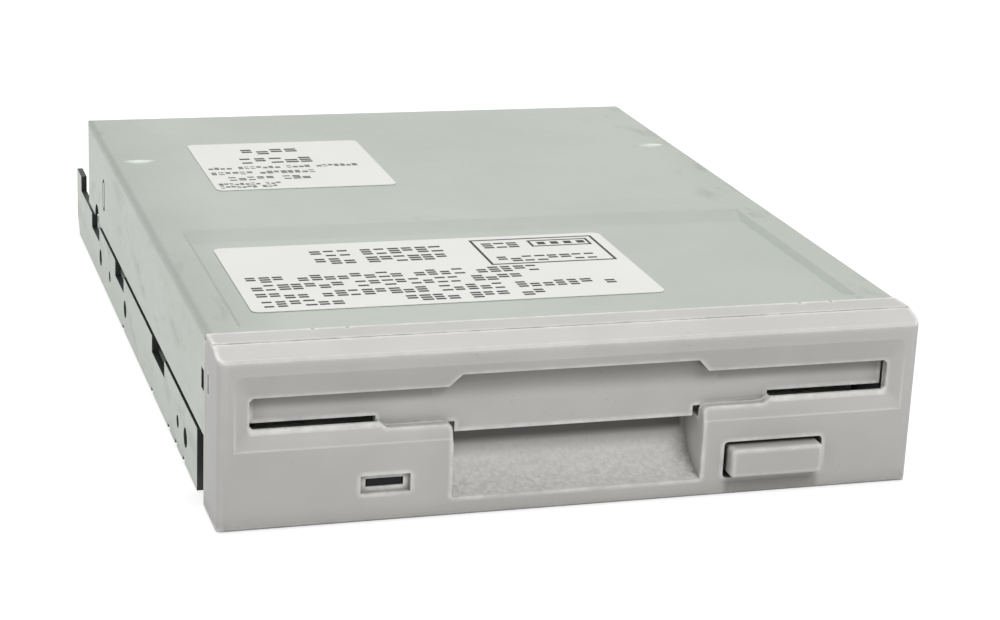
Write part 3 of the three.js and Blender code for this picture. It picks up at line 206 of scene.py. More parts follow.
@dataclass(frozen=True)
class MouldedAbs:
    """Injection moulded ABS from a spark eroded tool: an even, dry, slightly mottled grey with a fine grain.

    Its outer edges are drawn lighter, partly as rubbed wear and partly as a painted highlight, and its inner
    corners and narrow gaps carry painted shade. The floor of the scoop is drawn pale, partly rubbed and
    partly painted light, the lower rim of the slot's surround carries a painted highlight, painted shadows
    lie under the lips, the flap and the button, and specks of grime lie closer where fingers go. Lengths are
    in millimetres. A reach gives how open a place is where a share begins, how open it is where the share is
    whole, and the whole share.
    """

    name: str = "moulded_abs"
    colour: str = "#D2D1CE"
    shade: str = "#CAC9C6"
    # Colour of rubbed wear and of painted highlights on edges, the scoop floor and the surround's rim
    wear_and_highlight: str = "#F6F5F2"
    # Painted shade in inner corners and round steps and lips
    corner_shade: str = "#95938D"
    grime: str = "#77736A"
    # Colour of the painted shadows
    shadow_tone: str = "#57544F"
    # Painted shade in narrow gaps between parts, near black
    gap: str = "#22211F"
    roughness: float = 0.5
    grain: float = 0.35
    blotch: float = 14.0
    speck: float = 1.0
    speck_patch: float = 6.0
    handled: float = 19.0
    handled_fade: float = 2.0
    rub: float = 0.8
    rub_patch: float = 3.0
    # How far the painted shade looks for other surfaces, then the reaches of the corner shade and of the gap
    # shade
    corner: float = 3.2
    corner_shade_reach: tuple[float, float, float] = (0.86, 0.38, 0.85)
    gap_shade_reach: tuple[float, float, float] = (0.3, 0.08, 0.9)
    polish_patch: float = 0.8
    scoop_half: float = 18.3
    scoop_top: float = 8.5
    scoop_low: float = 3.5
    scoop_floor: float = 2.0
    scoop_behind: float = 0.4
    soft: float = 0.8
    # Painted shadows: under the flap on the scoop, on the door under the slot's upper lip in the middle and
    # at both sides, and on the face below the eject button
    bands: tuple[ShadowBand, ...] = (
        ShadowBand((-18.3, 18.3), (4.5, 20.0), (7.4, 8.7), 14.2, 0.9),
        ShadowBand((-21.4, 21.4), (2.2, 4.5), (15.8, 18.2), 19.9, 0.38),
        ShadowBand((-47.0, -20.2), (2.2, 4.5), (16.1, 17.5), 19.0, 0.4),
        ShadowBand((20.2, 47.0), (2.2, 4.5), (16.1, 17.5), 19.0, 0.4),
        ShadowBand((21.7, 36.7), (-0.1, 0.4), (-1.2, 1.0), 3.4, 0.4),
    )
    # A painted highlight line along the surround's lower rim
    rim_half: float = 48.5
    rim_low: float = 11.5
    rim_line: float = 0.2
    rim_depth: float = 0.25
    rim_most: float = 0.4
    sill: float = 14.2
    sill_fade: float = 6.0

    def build(self) -> bpy.types.Material:
        """Makes the material."""
        material, tree, place = new_material(self.name)
        at = {"Vector": place}
        cloud = add_node(tree, "ShaderNodeTexNoise", {"Scale": per_mm(self.blotch), "Detail": 5.0}, at)
        tint = add_node(
            tree, "ShaderNodeMapRange", {"From Min": 0.35, "From Max": 0.65}, {"Value": cloud.outputs["Fac"]}
        )
        base = add_node(
            tree,
            "ShaderNodeMix",
            {"data_type": "RGBA", 6: linear(self.colour), 7: linear(self.shade)},
            {0: tint.outputs[0]},
        )
        # Painted shade: ambient occlusion darkens inner corners, the face round steps and lips, and narrow
        # gaps
        outer = add_node(tree, "ShaderNodeAmbientOcclusion", {"samples": 4, "Distance": self.corner / 1000})
        corner_shade_share, gap_shade_share = (
            add_node(
                tree,
                "ShaderNodeMapRange",
                {"From Min": start, "From Max": full, "To Max": most},
                {"Value": outer.outputs["AO"]},
            ).outputs[0]
            for start, full, most in (self.corner_shade_reach, self.gap_shade_reach)
        )
        # Over the mottled base: painted corner shade, specks of grime, edges lighter as wear and painted
        # highlight, the scoop floor pale, the rim's painted highlight, painted shadows and painted gap shade
        tone = base.outputs[2]
        for share, code in (
            (corner_shade_share, self.corner_shade),
            (self.specks(tree, place), self.grime),
            (self.edges(tree, place), self.wear_and_highlight),
            (self.scoop_polish_and_light(tree, place), self.wear_and_highlight),
            (self.rim(tree, place), self.wear_and_highlight),
            (self.painted_shadows(tree, place), self.shadow_tone),
            (gap_shade_share, self.gap),
        ):
            tone = add_node(
                tree, "ShaderNodeMix", {"data_type": "RGBA", 7: linear(code)}, {0: share, 6: tone}
            ).outputs[2]
        grain = add_node(tree, "ShaderNodeTexNoise", {"Scale": per_mm(self.grain), "Detail": 3.0}, at)
        settings = {"Roughness": self.roughness, "IOR": 1.53}
        close_material(tree, settings, {"Base Color": tone}, (grain.outputs["Fac"], 0.3, 0.05))
        return material

    def edges(self, tree: bpy.types.NodeTree, place: bpy.types.NodeSocket) -> bpy.types.NodeSocket:
        """Finds the outer edges, in patches, drawn lighter as rubbed wear and as a painted highlight where
        the mesh's edges stay nearly sharp.

        Args:
            tree: the material's node tree.
            place: the texture coordinates.

        Returns:
            The share of the lighter colour.
        """
        inner = add_node(
            tree, "ShaderNodeAmbientOcclusion", {"samples": 4, "inside": True, "Distance": self.rub / 1000}
        )
        near = add_node(
            tree, "ShaderNodeMapRange", {"From Min": 0.97, "From Max": 0.72}, {"Value": inner.outputs["AO"]}
        )
        patch = add_node(
            tree,
            "ShaderNodeTexNoise",
            {"Scale": per_mm(self.rub_patch), "Detail": 6.0, "Roughness": 0.7},
            {"Vector": place},
        )
        some = add_node(
            tree,
            "ShaderNodeMapRange",
            {"From Min": 0.38, "From Max": 0.62, "To Min": 0.4},
            {"Value": patch.outputs["Fac"]},
        )
        return add_node(
            tree, "ShaderNodeMath", {"operation": "MULTIPLY"}, {0: near.outputs[0], 1: some.outputs[0]}
        ).outputs[0]

    def scoop_polish_and_light(self, tree: bpy.types.NodeTree, place: bpy.types.NodeSocket) -> bpy.types.NodeSocket:
        """Finds the floor of the finger scoop, drawn pale: partly rubbed by fingertips and partly painted
        light.

        Args:
            tree: the material's node tree.
            place: the texture coordinates.

        Returns:
            The share of the lighter colour.
        """
        axes = add_node(tree, "ShaderNodeSeparateXYZ", links={"Vector": place}).outputs
        across = add_node(tree, "ShaderNodeMath", {"operation": "ABSOLUTE"}, {0: axes["X"]})
        patch = add_node(
            tree,
            "ShaderNodeTexNoise",
            {"Scale": per_mm(self.polish_patch), "Detail": 6.0, "Roughness": 0.8},
            {"Vector": place},
        )
        share = add_node(
            tree,
            "ShaderNodeMapRange",
            {"From Min": 0.4, "From Max": 0.62, "To Min": 0.15, "To Max": 0.9},
            {"Value": patch.outputs["Fac"]},
        ).outputs[0]
        low = add_node(
            tree,
            "ShaderNodeMapRange",
            {"From Min": self.scoop_top / 1000, "From Max": self.scoop_low / 1000},
            {"Value": axes["Z"]},
        ).outputs[0]
        masks = [
            add_node(tree, "ShaderNodeMath", {"operation": test, 1: limit}, {0: axis}).outputs[0]
            for test, axis, limit in (
                ("LESS_THAN", across.outputs[0], self.scoop_half / 1000),
                ("GREATER_THAN", axes["Y"], FACE_Y + self.scoop_behind / 1000),
                ("GREATER_THAN", axes["Z"], self.scoop_floor / 1000),
            )
        ]
        for mask in (*masks, low):
            share = add_node(
                tree, "ShaderNodeMath", {"operation": "MULTIPLY"}, {0: share, 1: mask}
            ).outputs[0]
        return share

    def painted_shadows(self, tree: bpy.types.NodeTree, place: bpy.types.NodeSocket) -> bpy.types.NodeSocket:
        """Finds the places under lips, the flap and the button where a shadow is painted.

        Args:
            tree: the material's node tree.
            place: the texture coordinates.

        Returns:
            The share of painted shadow.
        """
        axes = add_node(tree, "ShaderNodeSeparateXYZ", links={"Vector": place}).outputs
        parts = [self.band_share(tree, axes, band) for band in self.bands]
        share = parts[0]
        for part in parts[1:]:
            share = add_node(
                tree, "ShaderNodeMath", {"operation": "MAXIMUM"}, {0: share, 1: part}
            ).outputs[0]
        return share

    def band_share(
        self, tree: bpy.types.NodeTree, axes: bpy.types.NodeOutputs, band: ShadowBand
    ) -> bpy.types.NodeSocket:
        """Finds one band of painted shadow.

        Args:
            tree: the material's node tree.
            axes: the place's three coordinates.
            band: where the shadow is painted.

        Returns:
            The share of painted shadow.
        """
        part = add_node(
            tree,
            "ShaderNodeMapRange",
            {
                "From Min": band.fade[0] / 1000,
                "From Max": band.fade[1] / 1000,
                "To Max": band.most,
                "interpolation_type": "SMOOTHSTEP",
            },
            {"Value": axes["Z"]},
        ).outputs[0]
        half = (band.across[1] - band.across[0]) / 2000
        far = add_node(
            tree, "ShaderNodeMath", {"operation": "SUBTRACT", 1: sum(band.across) / 2000}, {0: axes["X"]}
        )
        off = add_node(tree, "ShaderNodeMath", {"operation": "ABSOLUTE"}, {0: far.outputs[0]})
        masks = [
            add_node(
                tree,
                "ShaderNodeMapRange",
                {"From Min": half, "From Max": half - self.soft / 1000},
                {"Value": off.outputs[0]},
            ).outputs[0]
        ]
        for axis, low, high in (
            ("Y", FACE_Y + band.behind[0] / 1000, FACE_Y + band.behind[1] / 1000),
            ("Z", 0.0, band.top / 1000),
        ):
            window = {"operation": "COMPARE", 1: (low + high) / 2, 2: (high - low) / 2}
            masks.append(add_node(tree, "ShaderNodeMath", window, {0: axes[axis]}).outputs[0])
        for mask in masks:
            part = add_node(
                tree, "ShaderNodeMath", {"operation": "MULTIPLY"}, {0: part, 1: mask}
            ).outputs[0]
        return part

    def rim(self, tree: bpy.types.NodeTree, place: bpy.types.NodeSocket) -> bpy.types.NodeSocket:
        """Finds the lower rim of the slot's surround and paints a highlight along it as a pale line.

        Args:
            tree: the material's node tree.
            place: the texture coordinates.

        Returns:
            The share of the lighter colour.
        """
        axes = add_node(tree, "ShaderNodeSeparateXYZ", links={"Vector": place}).outputs
        across = add_node(tree, "ShaderNodeMath", {"operation": "ABSOLUTE"}, {0: axes["X"]})
        beside = add_node(
            tree, "ShaderNodeMath", {"operation": "SUBTRACT", 1: self.rim_half / 1000}, {0: across.outputs[0]}
        )
        below = add_node(
            tree, "ShaderNodeMath", {"operation": "SUBTRACT", 0: self.rim_low / 1000}, {1: axes["Z"]}
        )
        away = add_node(
            tree, "ShaderNodeMath", {"operation": "MAXIMUM"}, {0: beside.outputs[0], 1: below.outputs[0]}
        )
        far = add_node(tree, "ShaderNodeMath", {"operation": "ABSOLUTE"}, {0: away.outputs[0]})
        line = self.rim_line / 1000
        share = add_node(
            tree,
            "ShaderNodeMapRange",
            {"From Min": line, "From Max": 0.4 * line, "To Max": self.rim_most},
            {"Value": far.outputs[0]},
        ).outputs[0]
        front = add_node(
            tree,
            "ShaderNodeMath",
            {"operation": "LESS_THAN", 1: FACE_Y + self.rim_depth / 1000},
            {0: axes["Y"]},
        )
        low = add_node(
            tree,
            "ShaderNodeMapRange",
            {"From Min": (self.sill + self.sill_fade) / 1000, "From Max": self.sill / 1000},
            {"Value": axes["Z"]},
        )
        for mask in (front.outputs[0], low.outputs[0]):
            share = add_node(
                tree, "ShaderNodeMath", {"operation": "MULTIPLY"}, {0: share, 1: mask}
            ).outputs[0]
        return share

    def specks(self, tree: bpy.types.NodeTree, place: bpy.types.NodeSocket) -> bpy.types.NodeSocket:
        """Scatters specks, sparse all over and closer in the middle, where fingers and disks go.

        Args:
            tree: the material's node tree.
            place: the texture coordinates.

        Returns:
            The share of grime.
        """
        at = {"Vector": place}
        dots = add_node(tree, "ShaderNodeTexVoronoi", {"Scale": per_mm(self.speck), "Randomness": 1.0}, at)
        near = add_node(
            tree,
            "ShaderNodeMapRange",
            {"From Min": 0.06, "From Max": 0.11, "To Min": 1.0, "To Max": 0.0},
            {"Value": dots.outputs["Distance"]},
        )
        axes = add_node(tree, "ShaderNodeSeparateXYZ", links=at)
        across = add_node(tree, "ShaderNodeMath", {"operation": "ABSOLUTE"}, {0: axes.outputs["X"]})
        middle = add_node(
            tree,
            "ShaderNodeMapRange",
            {
                "From Min": self.handled / 1000,
                "From Max": (self.handled - self.handled_fade) / 1000,
                "To Min": 0.02,
                "To Max": 0.16,
            },
            {"Value": across.outputs[0]},
        )
        patch = add_node(tree, "ShaderNodeTexNoise", {"Scale": per_mm(self.speck_patch), "Detail": 3.0}, at)
        reach = add_node(
            tree, "ShaderNodeMath", {"operation": "ADD"}, {0: patch.outputs["Fac"], 1: middle.outputs[0]}
        )
        some = add_node(
            tree,
            "ShaderNodeMapRange",
            {"From Min": 0.6, "From Max": 0.7, "To Max": 0.5},
            {"Value": reach.outputs[0]},
        )
        return add_node(
            tree, "ShaderNodeMath", {"operation": "MULTIPLY"}, {0: near.outputs[0], 1: some.outputs[0]}
        ).outputs[0]


@dataclass(frozen=True)
class FoldShade:
    """A painted shade on the cover along its left fold, in millimetres.

    Attributes:
        below: how far under the cover's top it still shows.
        start: the place across where it begins.
        full: the place across where it is full.
        most: its largest share.
    """

    below: float
    start: float
    full: float
    most: float


@dataclass(frozen=True)
class ZincSheet:
    """Electro-galvanised steel sheet: a pale green-grey satin with soft clouds, smudges along its sides and a
    painted shade along its left fold.

    Lengths are in millimetres.
    """

    name: str = "zinc_sheet"
    colour: str = "#C3C9C1"
    cloud: str = "#BDC4BB"
    # Colour of the smudges and of the painted shade along the left fold
    stain_and_shade: str = "#8E938A"
    metallic: float = 0.4
    roughness: float = 0.42
    patch: float = 30.0
    spangle: float = 1.2
    rub: float = 0.5
    smear: float = 4.5
    side: float = 46.0
    side_fade: tuple[float, float] = (8.0, 3.0)
    cover_top: float = 25.2
    fold_shades: tuple[FoldShade, ...] = (
        FoldShade(1.4, -38.0, -50.3, 0.25),
        FoldShade(0.9, -49.6, -50.2, 0.35),
    )

    def build(self) -> bpy.types.Material:
        """Makes the material."""
        material, tree, place = new_material(self.name)
        at = {"Vector": place}
        cloud = add_node(
            tree,
            "ShaderNodeTexNoise",
            {"Scale": per_mm(self.patch), "Detail": 5.0, "Roughness": 0.55, "Distortion": 0.4},
            at,
        )
        tint = add_node(
            tree, "ShaderNodeMapRange", {"From Min": 0.36, "From Max": 0.66}, {"Value": cloud.outputs["Fac"]}
        )
        colour = add_node(
            tree,
            "ShaderNodeMix",
            {"data_type": "RGBA", 6: linear(self.colour), 7: linear(self.cloud)},
            {0: tint.outputs[0]},
        )
        # Real smudges, then painted shade along the left fold, in the same darker colour
        for share in (self.smudges(tree, place), self.painted_fold_shade(tree, place)):
            colour = add_node(
                tree,
                "ShaderNodeMix",
                {"data_type": "RGBA", 7: linear(self.stain_and_shade)},
                {0: share, 6: colour.outputs[2]},
            )
        stretched = add_node(
            tree, "ShaderNodeMapping", {"Scale": (1.0, 0.04, 1.0), "Rotation": (0.0, 0.0, 0.5)}, at
        )
        rub = add_node(
            tree,
            "ShaderNodeTexNoise",
            {"Scale": per_mm(self.rub), "Detail": 2.0},
            {"Vector": stretched.outputs[0]},
        )
        spangle = add_node(tree, "ShaderNodeTexVoronoi", {"Scale": per_mm(self.spangle)}, at)
        gloss = add_node(
            tree,
            "ShaderNodeMapRange",
            {"From Max": 1.0, "To Min": self.roughness - 0.04, "To Max": self.roughness + 0.05},
            {"Value": spangle.outputs["Color"]},
        )
        links = {"Base Color": colour.outputs[2], "Roughness": gloss.outputs[0]}
        close_material(tree, {"Metallic": self.metallic}, links, (rub.outputs["Fac"], 0.06, 0.03))
        return material

    def painted_fold_shade(self, tree: bpy.types.NodeTree, place: bpy.types.NodeSocket) -> bpy.types.NodeSocket:
        """Paints shade on the cover towards its left fold, and most along it.

        Args:
            tree: the material's node tree.
            place: the texture coordinates.

        Returns:
            The share of painted shade.
        """
        axes = add_node(tree, "ShaderNodeSeparateXYZ", links={"Vector": place}).outputs
        parts = []
        for stain_and_shade in self.fold_shades:
            near = add_node(
                tree,
                "ShaderNodeMapRange",
                {"From Min": stain_and_shade.start / 1000, "From Max": stain_and_shade.full / 1000, "To Max": stain_and_shade.most},
                {"Value": axes["X"]},
            )
            height = (self.cover_top - stain_and_shade.below) / 1000
            high = add_node(
                tree, "ShaderNodeMath", {"operation": "GREATER_THAN", 1: height}, {0: axes["Z"]}
            )
            part = add_node(
                tree, "ShaderNodeMath", {"operation": "MULTIPLY"}, {0: near.outputs[0], 1: high.outputs[0]}
            )
            parts.append(part.outputs[0])
        share = parts[0]
        for part in parts[1:]:
            share = add_node(tree, "ShaderNodeMath", {"operation": "ADD"}, {0: share, 1: part}).outputs[0]
        return share

    def smudges(self, tree: bpy.types.NodeTree, place: bpy.types.NodeSocket) -> bpy.types.NodeSocket:
        """Draws faint handling marks: a few flecks all over and longer smears beside the folds.

        Args:
            tree: the material's node tree.
            place: the texture coordinates.

        Returns:
            The share of the stain.
        """
        along = add_node(tree, "ShaderNodeMapping", {"Scale": (1.0, 0.3, 1.0)}, {"Vector": place})
        spots = add_node(
            tree,
            "ShaderNodeTexNoise",
            {"Scale": per_mm(self.smear), "Detail": 8.0, "Roughness": 0.65},
            {"Vector": along.outputs[0]},
        )
        axes = add_node(tree, "ShaderNodeSeparateXYZ", links={"Vector": place})
        across = add_node(tree, "ShaderNodeMath", {"operation": "ABSOLUTE"}, {0: axes.outputs["X"]})
        beside = add_node(
            tree,
            "ShaderNodeMapRange",
            {
                "From Min": (self.side - self.side_fade[0]) / 1000,
                "From Max": (self.side + self.side_fade[1]) / 1000,
                "To Max": 0.14,
            },
            {"Value": across.outputs[0]},
        )
        reach = add_node(
            tree, "ShaderNodeMath", {"operation": "ADD"}, {0: spots.outputs["Fac"], 1: beside.outputs[0]}
        )
        return add_node(
            tree,
            "ShaderNodeMapRange",
            {"From Min": 0.68, "From Max": 0.8, "To Max": 0.4},
            {"Value": reach.outputs[0]},
        ).outputs[0]


@dataclass(frozen=True)
class TurnedSteel:
    """Bright steel off a lathe or a wire drawing die: fine rings along the work, quite glossy."""

    name: str = "turned_steel"
    colour: str = "#C9C9CB"
    dull: str = "#A9A9AC"
    roughness: float = 0.24
    ring: float = 0.35
    film: float = 3.0

    def build(self) -> bpy.types.Material:
        """Makes the material."""
        material, tree, place = new_material(self.name)
        at = {"Vector": place}
        lathe = {"wave_type": "RINGS", "rings_direction": "Z", "Scale": per_mm(self.ring) / WAVE_FACTOR}
        rings = add_node(tree, "ShaderNodeTexWave", {**lathe, "Distortion": 1.5}, at)
        film = add_node(tree, "ShaderNodeTexNoise", {"Scale": per_mm(self.film), "Detail": 4.0}, at)
        colour = add_node(
            tree,
            "ShaderNodeMix",
            {"data_type": "RGBA", 6: linear(self.colour), 7: linear(self.dull)},
            {0: film.outputs["Fac"]},
        )
        settings = {"Metallic": 1.0, "Roughness": self.roughness}
        close_material(
            tree, settings, {"Base Color": colour.outputs[2]}, (rings.outputs["Fac"], 0.05, 0.02)
        )
        return material


@dataclass(frozen=True)
class CoatedPaper:
    """Self-adhesive coated paper: a soft white with faint fibres and a slight yellowing in clouds."""

    name: str = "coated_paper"
    colour: str = "#F8F9F6"
    aged: str = "#EFEFE9"
    roughness: float = 0.48
    fibre: float = 0.5
    cloud: float = 18.0

    def build(self) -> bpy.types.Material:
        """Makes the material."""
        material, tree, place = new_material(self.name)
        at = {"Vector": place}
        age = add_node(tree, "ShaderNodeTexNoise", {"Scale": per_mm(self.cloud), "Detail": 5.0}, at)
        colour = add_node(
            tree,
            "ShaderNodeMix",
            {"data_type": "RGBA", 6: linear(self.colour), 7: linear(self.aged)},
            {0: age.outputs["Fac"]},
        )
        fibre = add_node(tree, "ShaderNodeTexNoise", {"Scale": per_mm(self.fibre), "Detail": 4.0}, at)
        settings = {"Roughness": self.roughness, "IOR": 1.45}
        close_material(
            tree, settings, {"Base Color": colour.outputs[2]}, (fibre.outputs["Fac"], 0.1, 0.02)
        )
        return material


@dataclass(frozen=True)
class PlainFinish:
    """A moulded, pressed or printed surface of one colour, with a fine grain and a light and a dark tone.

    The grain and its depth are in millimetres.
    """

    name: str
    colour: str
    tone: str
    roughness: float
    grain: float
    depth: float = 0.03
    metallic: float = 0.0
    specular: float = 0.5

    def build(self) -> bpy.types.Material:
        """Makes the material."""
        material, tree, place = new_material(self.name)
        at = {"Vector": place}
        grain, cloud = (
            add_node(tree, "ShaderNodeTexNoise", {"Scale": per_mm(size), "Detail": 3.0}, at).outputs["Fac"]
            for size in (self.grain, self.grain * 12)
        )
        colour = add_node(
            tree,
            "ShaderNodeMix",
            {"data_type": "RGBA", 6: linear(self.colour), 7: linear(self.tone)},
            {0: cloud},
        )
        settings = {
            "Metallic": self.metallic,
            "Roughness": self.roughness,
            "Specular IOR Level": self.specular,
        }
        close_material(tree, settings, {"Base Color": colour.outputs[2]}, (grain, 0.2, self.depth))
        return material


@dataclass(frozen=True)
class SolderMask:
    """Glass epoxy laminate under green solder mask: copper tracks show through as lighter bands."""

    name: str = "solder_mask"
    colour: str = "#1F5B3A"
    copper: str = "#34784B"
    track: float = 1.1
    line_share: float = 0.22
    run_tracks: float = 11.0
    pour: float = 9.0
    roughness: float = 0.3

    def build(self) -> bpy.types.Material:
        """Makes the material."""
        material, tree, place = new_material(self.name)
        at = {"Vector": place}
        runs = add_node(
            tree,
            "ShaderNodeTexBrick",
            {
                "Scale": 1.0,
                "Mortar Size": self.track * self.line_share / 1000,
                "Mortar Smooth": 0.1,
                "Brick Width": self.track * self.run_tracks / 1000,
                "Row Height": self.track / 1000,
                "Color1": (0.0, 0.0, 0.0, 1.0),
                "Color2": (0.35, 0.35, 0.35, 1.0),
                "Mortar": (1.0, 1.0, 1.0, 1.0),
            },
            at,
        )
        pours = add_node(tree, "ShaderNodeTexVoronoi", {"Scale": per_mm(self.pour)}, at)
        poured = add_node(
            tree, "ShaderNodeMapRange", {"From Min": 0.5, "From Max": 0.52}, {"Value": pours.outputs["Color"]}
        )
        share = add_node(
            tree,
            "ShaderNodeMath",
            {"operation": "MAXIMUM"},
            {0: runs.outputs["Color"], 1: poured.outputs[0]},
        ).outputs[0]
        colour = add_node(
            tree,
            "ShaderNodeMix",
            {"data_type": "RGBA", 6: linear(self.colour), 7: linear(self.copper)},
            {0: share},
        )
        settings = {"Roughness": self.roughness, "Coat Weight": 0.4}
        close_material(tree, settings, {"Base Color": colour.outputs[2]}, (share, 0.3, 0.03))
        return material


@dataclass(frozen=True)
class EnamelledWire:
    """Enamelled copper wire wound side by side: close ridges with a warm varnished gloss."""

    name: str = "enamelled_wire"
    colour: str = "#A9582B"
    dark: str = "#6E3417"
    wire: float = 0.3

    def build(self) -> bpy.types.Material:
        """Makes the material."""
        material, tree, place = new_material(self.name)
        turns = add_node(
            tree,
            "ShaderNodeTexWave",
            {"wave_type": "RINGS", "rings_direction": "SPHERICAL", "Scale": per_mm(self.wire) / WAVE_FACTOR},
            {"Vector": place},
        )
        colour = add_node(
            tree,
            "ShaderNodeMix",
            {"data_type": "RGBA", 6: linear(self.dark), 7: linear(self.colour)},
            {0: turns.outputs["Fac"]},
        )
        settings = {"Metallic": 0.7, "Roughness": 0.3, "Coat Weight": 0.5}
        close_material(
            tree, settings, {"Base Color": colour.outputs[2]}, (turns.outputs["Fac"], 0.6, 0.1)
        )
        return material


FINISHES = {
    Slot.BEZEL: MouldedAbs(),
    Slot.ZINC: ZincSheet(),
    Slot.BRIGHT: TurnedSteel(),
    # Drawn spring wire is darker than turned steel, with the grey film of its heat treatment
    Slot.SPRING: TurnedSteel("spring_wire", "#9A9A9E", "#77777B", 0.3, 0.2),
    Slot.PAPER: CoatedPaper(),
    # Glass filled nylon has a dry, slightly streaky black
    Slot.DARK: PlainFinish("black_nylon", "#26272A", "#1B1C1E", 0.5, 0.3),
    # Unfilled nylon is a warm, slightly waxy ivory
    Slot.WHITE: PlainFinish("ivory_nylon", "#E4E1D3", "#DAD6C6", 0.42, 0.4),
    # Smoked acrylic looks near black until the lamp is lit
    Slot.LENS: PlainFinish("smoked_acrylic", "#15181C", "#0E1013", 0.2, 1.5, 0.005, 0.0, 0.2),
    Slot.BOARD: SolderMask(),
    Slot.WINDING: EnamelledWire(),
    # Bonded ferrite is a dull, dark grey with a powdery grain
    Slot.MAGNET: PlainFinish("bonded_ferrite", "#3B3B3D", "#303032", 0.6, 0.25),
    # Sintered bronze shows its pores as a fine matt speckle
    Slot.BRONZE: PlainFinish("sintered_bronze", "#A98A55", "#8F7344", 0.45, 0.2, 0.06, 1.0),
    # Lapped ferrite and ceramic have a mirror-flat brown-grey face
    Slot.CERAMIC: PlainFinish("lapped_ferrite", "#5C534A", "#4B433C", 0.15, 0.6, 0.01),
}
# Electroplated contact gold over nickel, a thin warm gloss
CONTACT_GOLD = PlainFinish("contact_gold", "#D8B45A", "#C9A24A", 0.22, 0.3, 0.01, 1.0)
# Reflowed tin solder: bright, rounded and slightly frosted
TINNED = PlainFinish("tinned_solder", "#C4C6C8", "#A7A9AC", 0.28, 0.3, 0.03, 1.0)
# Fired chip capacitor ceramic, a matt tan
TAN_CERAMIC = PlainFinish("chip_ceramic", "#A38661", "#8F7350", 0.5, 0.2)
# Silicon steel laminations, cut edges with a thin grey oxide
LAMINATIONS = PlainFinish("laminated_steel", "#8B8D90", "#74767A", 0.38, 0.3, 0.05, 1.0)
# Sheared edges of coated sheet show the bare core, drawn dark; the dark is also painted shade for the thin
# gaps between the chassis walls and the cover's flanges
SHEARED_AND_SHADE = PlainFinish("sheared_edge_and_shade", "#4A4C4B", "#35373A", 0.5, 0.3, 0.04, 0.6)
# Thermal print on the labels, a flat soft black
PRINT_BLACK = PlainFinish("thermal_print", "#242425", "#2E2E2F", 0.6, 0.4, 0.005)


class Palette:
    """Builds each finish once and hands it out."""

    def __init__(self) -> None:
        """Starts with nothing built."""
        self.made: dict[str, bpy.types.Material] = {}

    def of(self, finish: object) -> bpy.types.Material:
        """Returns the material of a finish, or of a record slot's finish."""
        chosen = FINISHES[finish] if isinstance(finish, Slot) else finish
        if chosen.name not in self.made:
            self.made[chosen.name] = chosen.build()
        return self.made[chosen.name]


PALETTE = Palette()


def round_edges(piece: bpy.types.Object, width: float, joined: bool = True) -> None:
    """Rounds a piece's hard edges, as far as its mesh has room.

    The overlap limit holds the rounding of a whole piece to what its shortest edges have room for, so a piece
    with fine detail gets much less than the width asked for. Without the limit its faces fold over.

    Args:
        piece: the object.
        width: the rounding asked for in millimetres; zero leaves the edges as they are.
        joined: joins level triangles first, which gives even strips but suits no face with many holes.
    """
    weld = piece.modifiers.new("join_points", "WELD")
    weld.merge_threshold = SAME_POINT
    if width <= 0:
        return
    if joined:
        flat = piece.modifiers.new("join_flats", "DECIMATE")
        flat.decimate_type = "DISSOLVE"
        flat.angle_limit = LEVEL_ANGLE
        flat.delimit = {"MATERIAL"}
    bevel = piece.modifiers.new("round_edges", "BEVEL")
    bevel.width = width / 1000
    bevel.segments = ROUNDING_STRIPS
    bevel.limit_method = "ANGLE"
    bevel.angle_limit = EDGE_ANGLE
    bevel.use_clamp_overlap = True
    bevel.miter_outer = "MITER_ARC"
    shade = piece.modifiers.new("flatten_shade", "WEIGHTED_NORMAL")
    shade.keep_sharp = True
    shade.weight = FLATNESS_WEIGHT


def in_drive(place: Vector) -> Vector:
    """Returns a place of the frame in drive millimetres."""
    return Vector((place[0] * 1000, (place[1] - FACE_Y) * 1000, place[2] * 1000))


def dress(
    node: str,
    finish: Slot,
    edge: float = 0.12,
    other: object | None = None,
    where: Callable[[Vector, Vector], bool] | None = None,
    crisp: Callable[[Vector], bool] | None = None,
    joined: bool = True,
) -> bpy.types.Object:
    """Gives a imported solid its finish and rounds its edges.

    Args:
        node: the solid's name.
        finish: its record slot.
        edge: the rounding asked for in millimetres, which round_edges may hold to less.
        other: a second finish for some of its faces.
        where: tells from a face's middle, in drive millimetres, and its direction whether it takes the second
            finish.
        crisp: tells from a corner point, in drive millimetres, whether shallow folds between such points
            stay crisp.
        joined: joins level triangles before the rounding.

    Returns:
        The solid's object.
    """
    piece = NODES[node]
    mesh = piece.data
    mesh.materials.clear()
    mesh.materials.append(PALETTE.of(finish))
    if other is not None and where is not None:
        mesh.materials.append(PALETTE.of(other))
        for face in mesh.polygons:
            face.material_index = 1 if where(in_drive(face.center), face.normal) else 0
    mesh.set_sharp_from_angle(angle=EDGE_ANGLE)
    if crisp is not None:
        points = [crisp(in_drive(point.co)) for point in mesh.vertices]
        for fold in mesh.edges:
            if points[fold.vertices[0]] and points[fold.vertices[1]]:
                fold.use_edge_sharp = True
    round_edges(piece, edge, joined=joined)
    LOG.info("%s: %s, rounding of at most %.2f mm", node, finish.value, edge)
    return piece


NODES: dict[str, bpy.types.Object] = {}


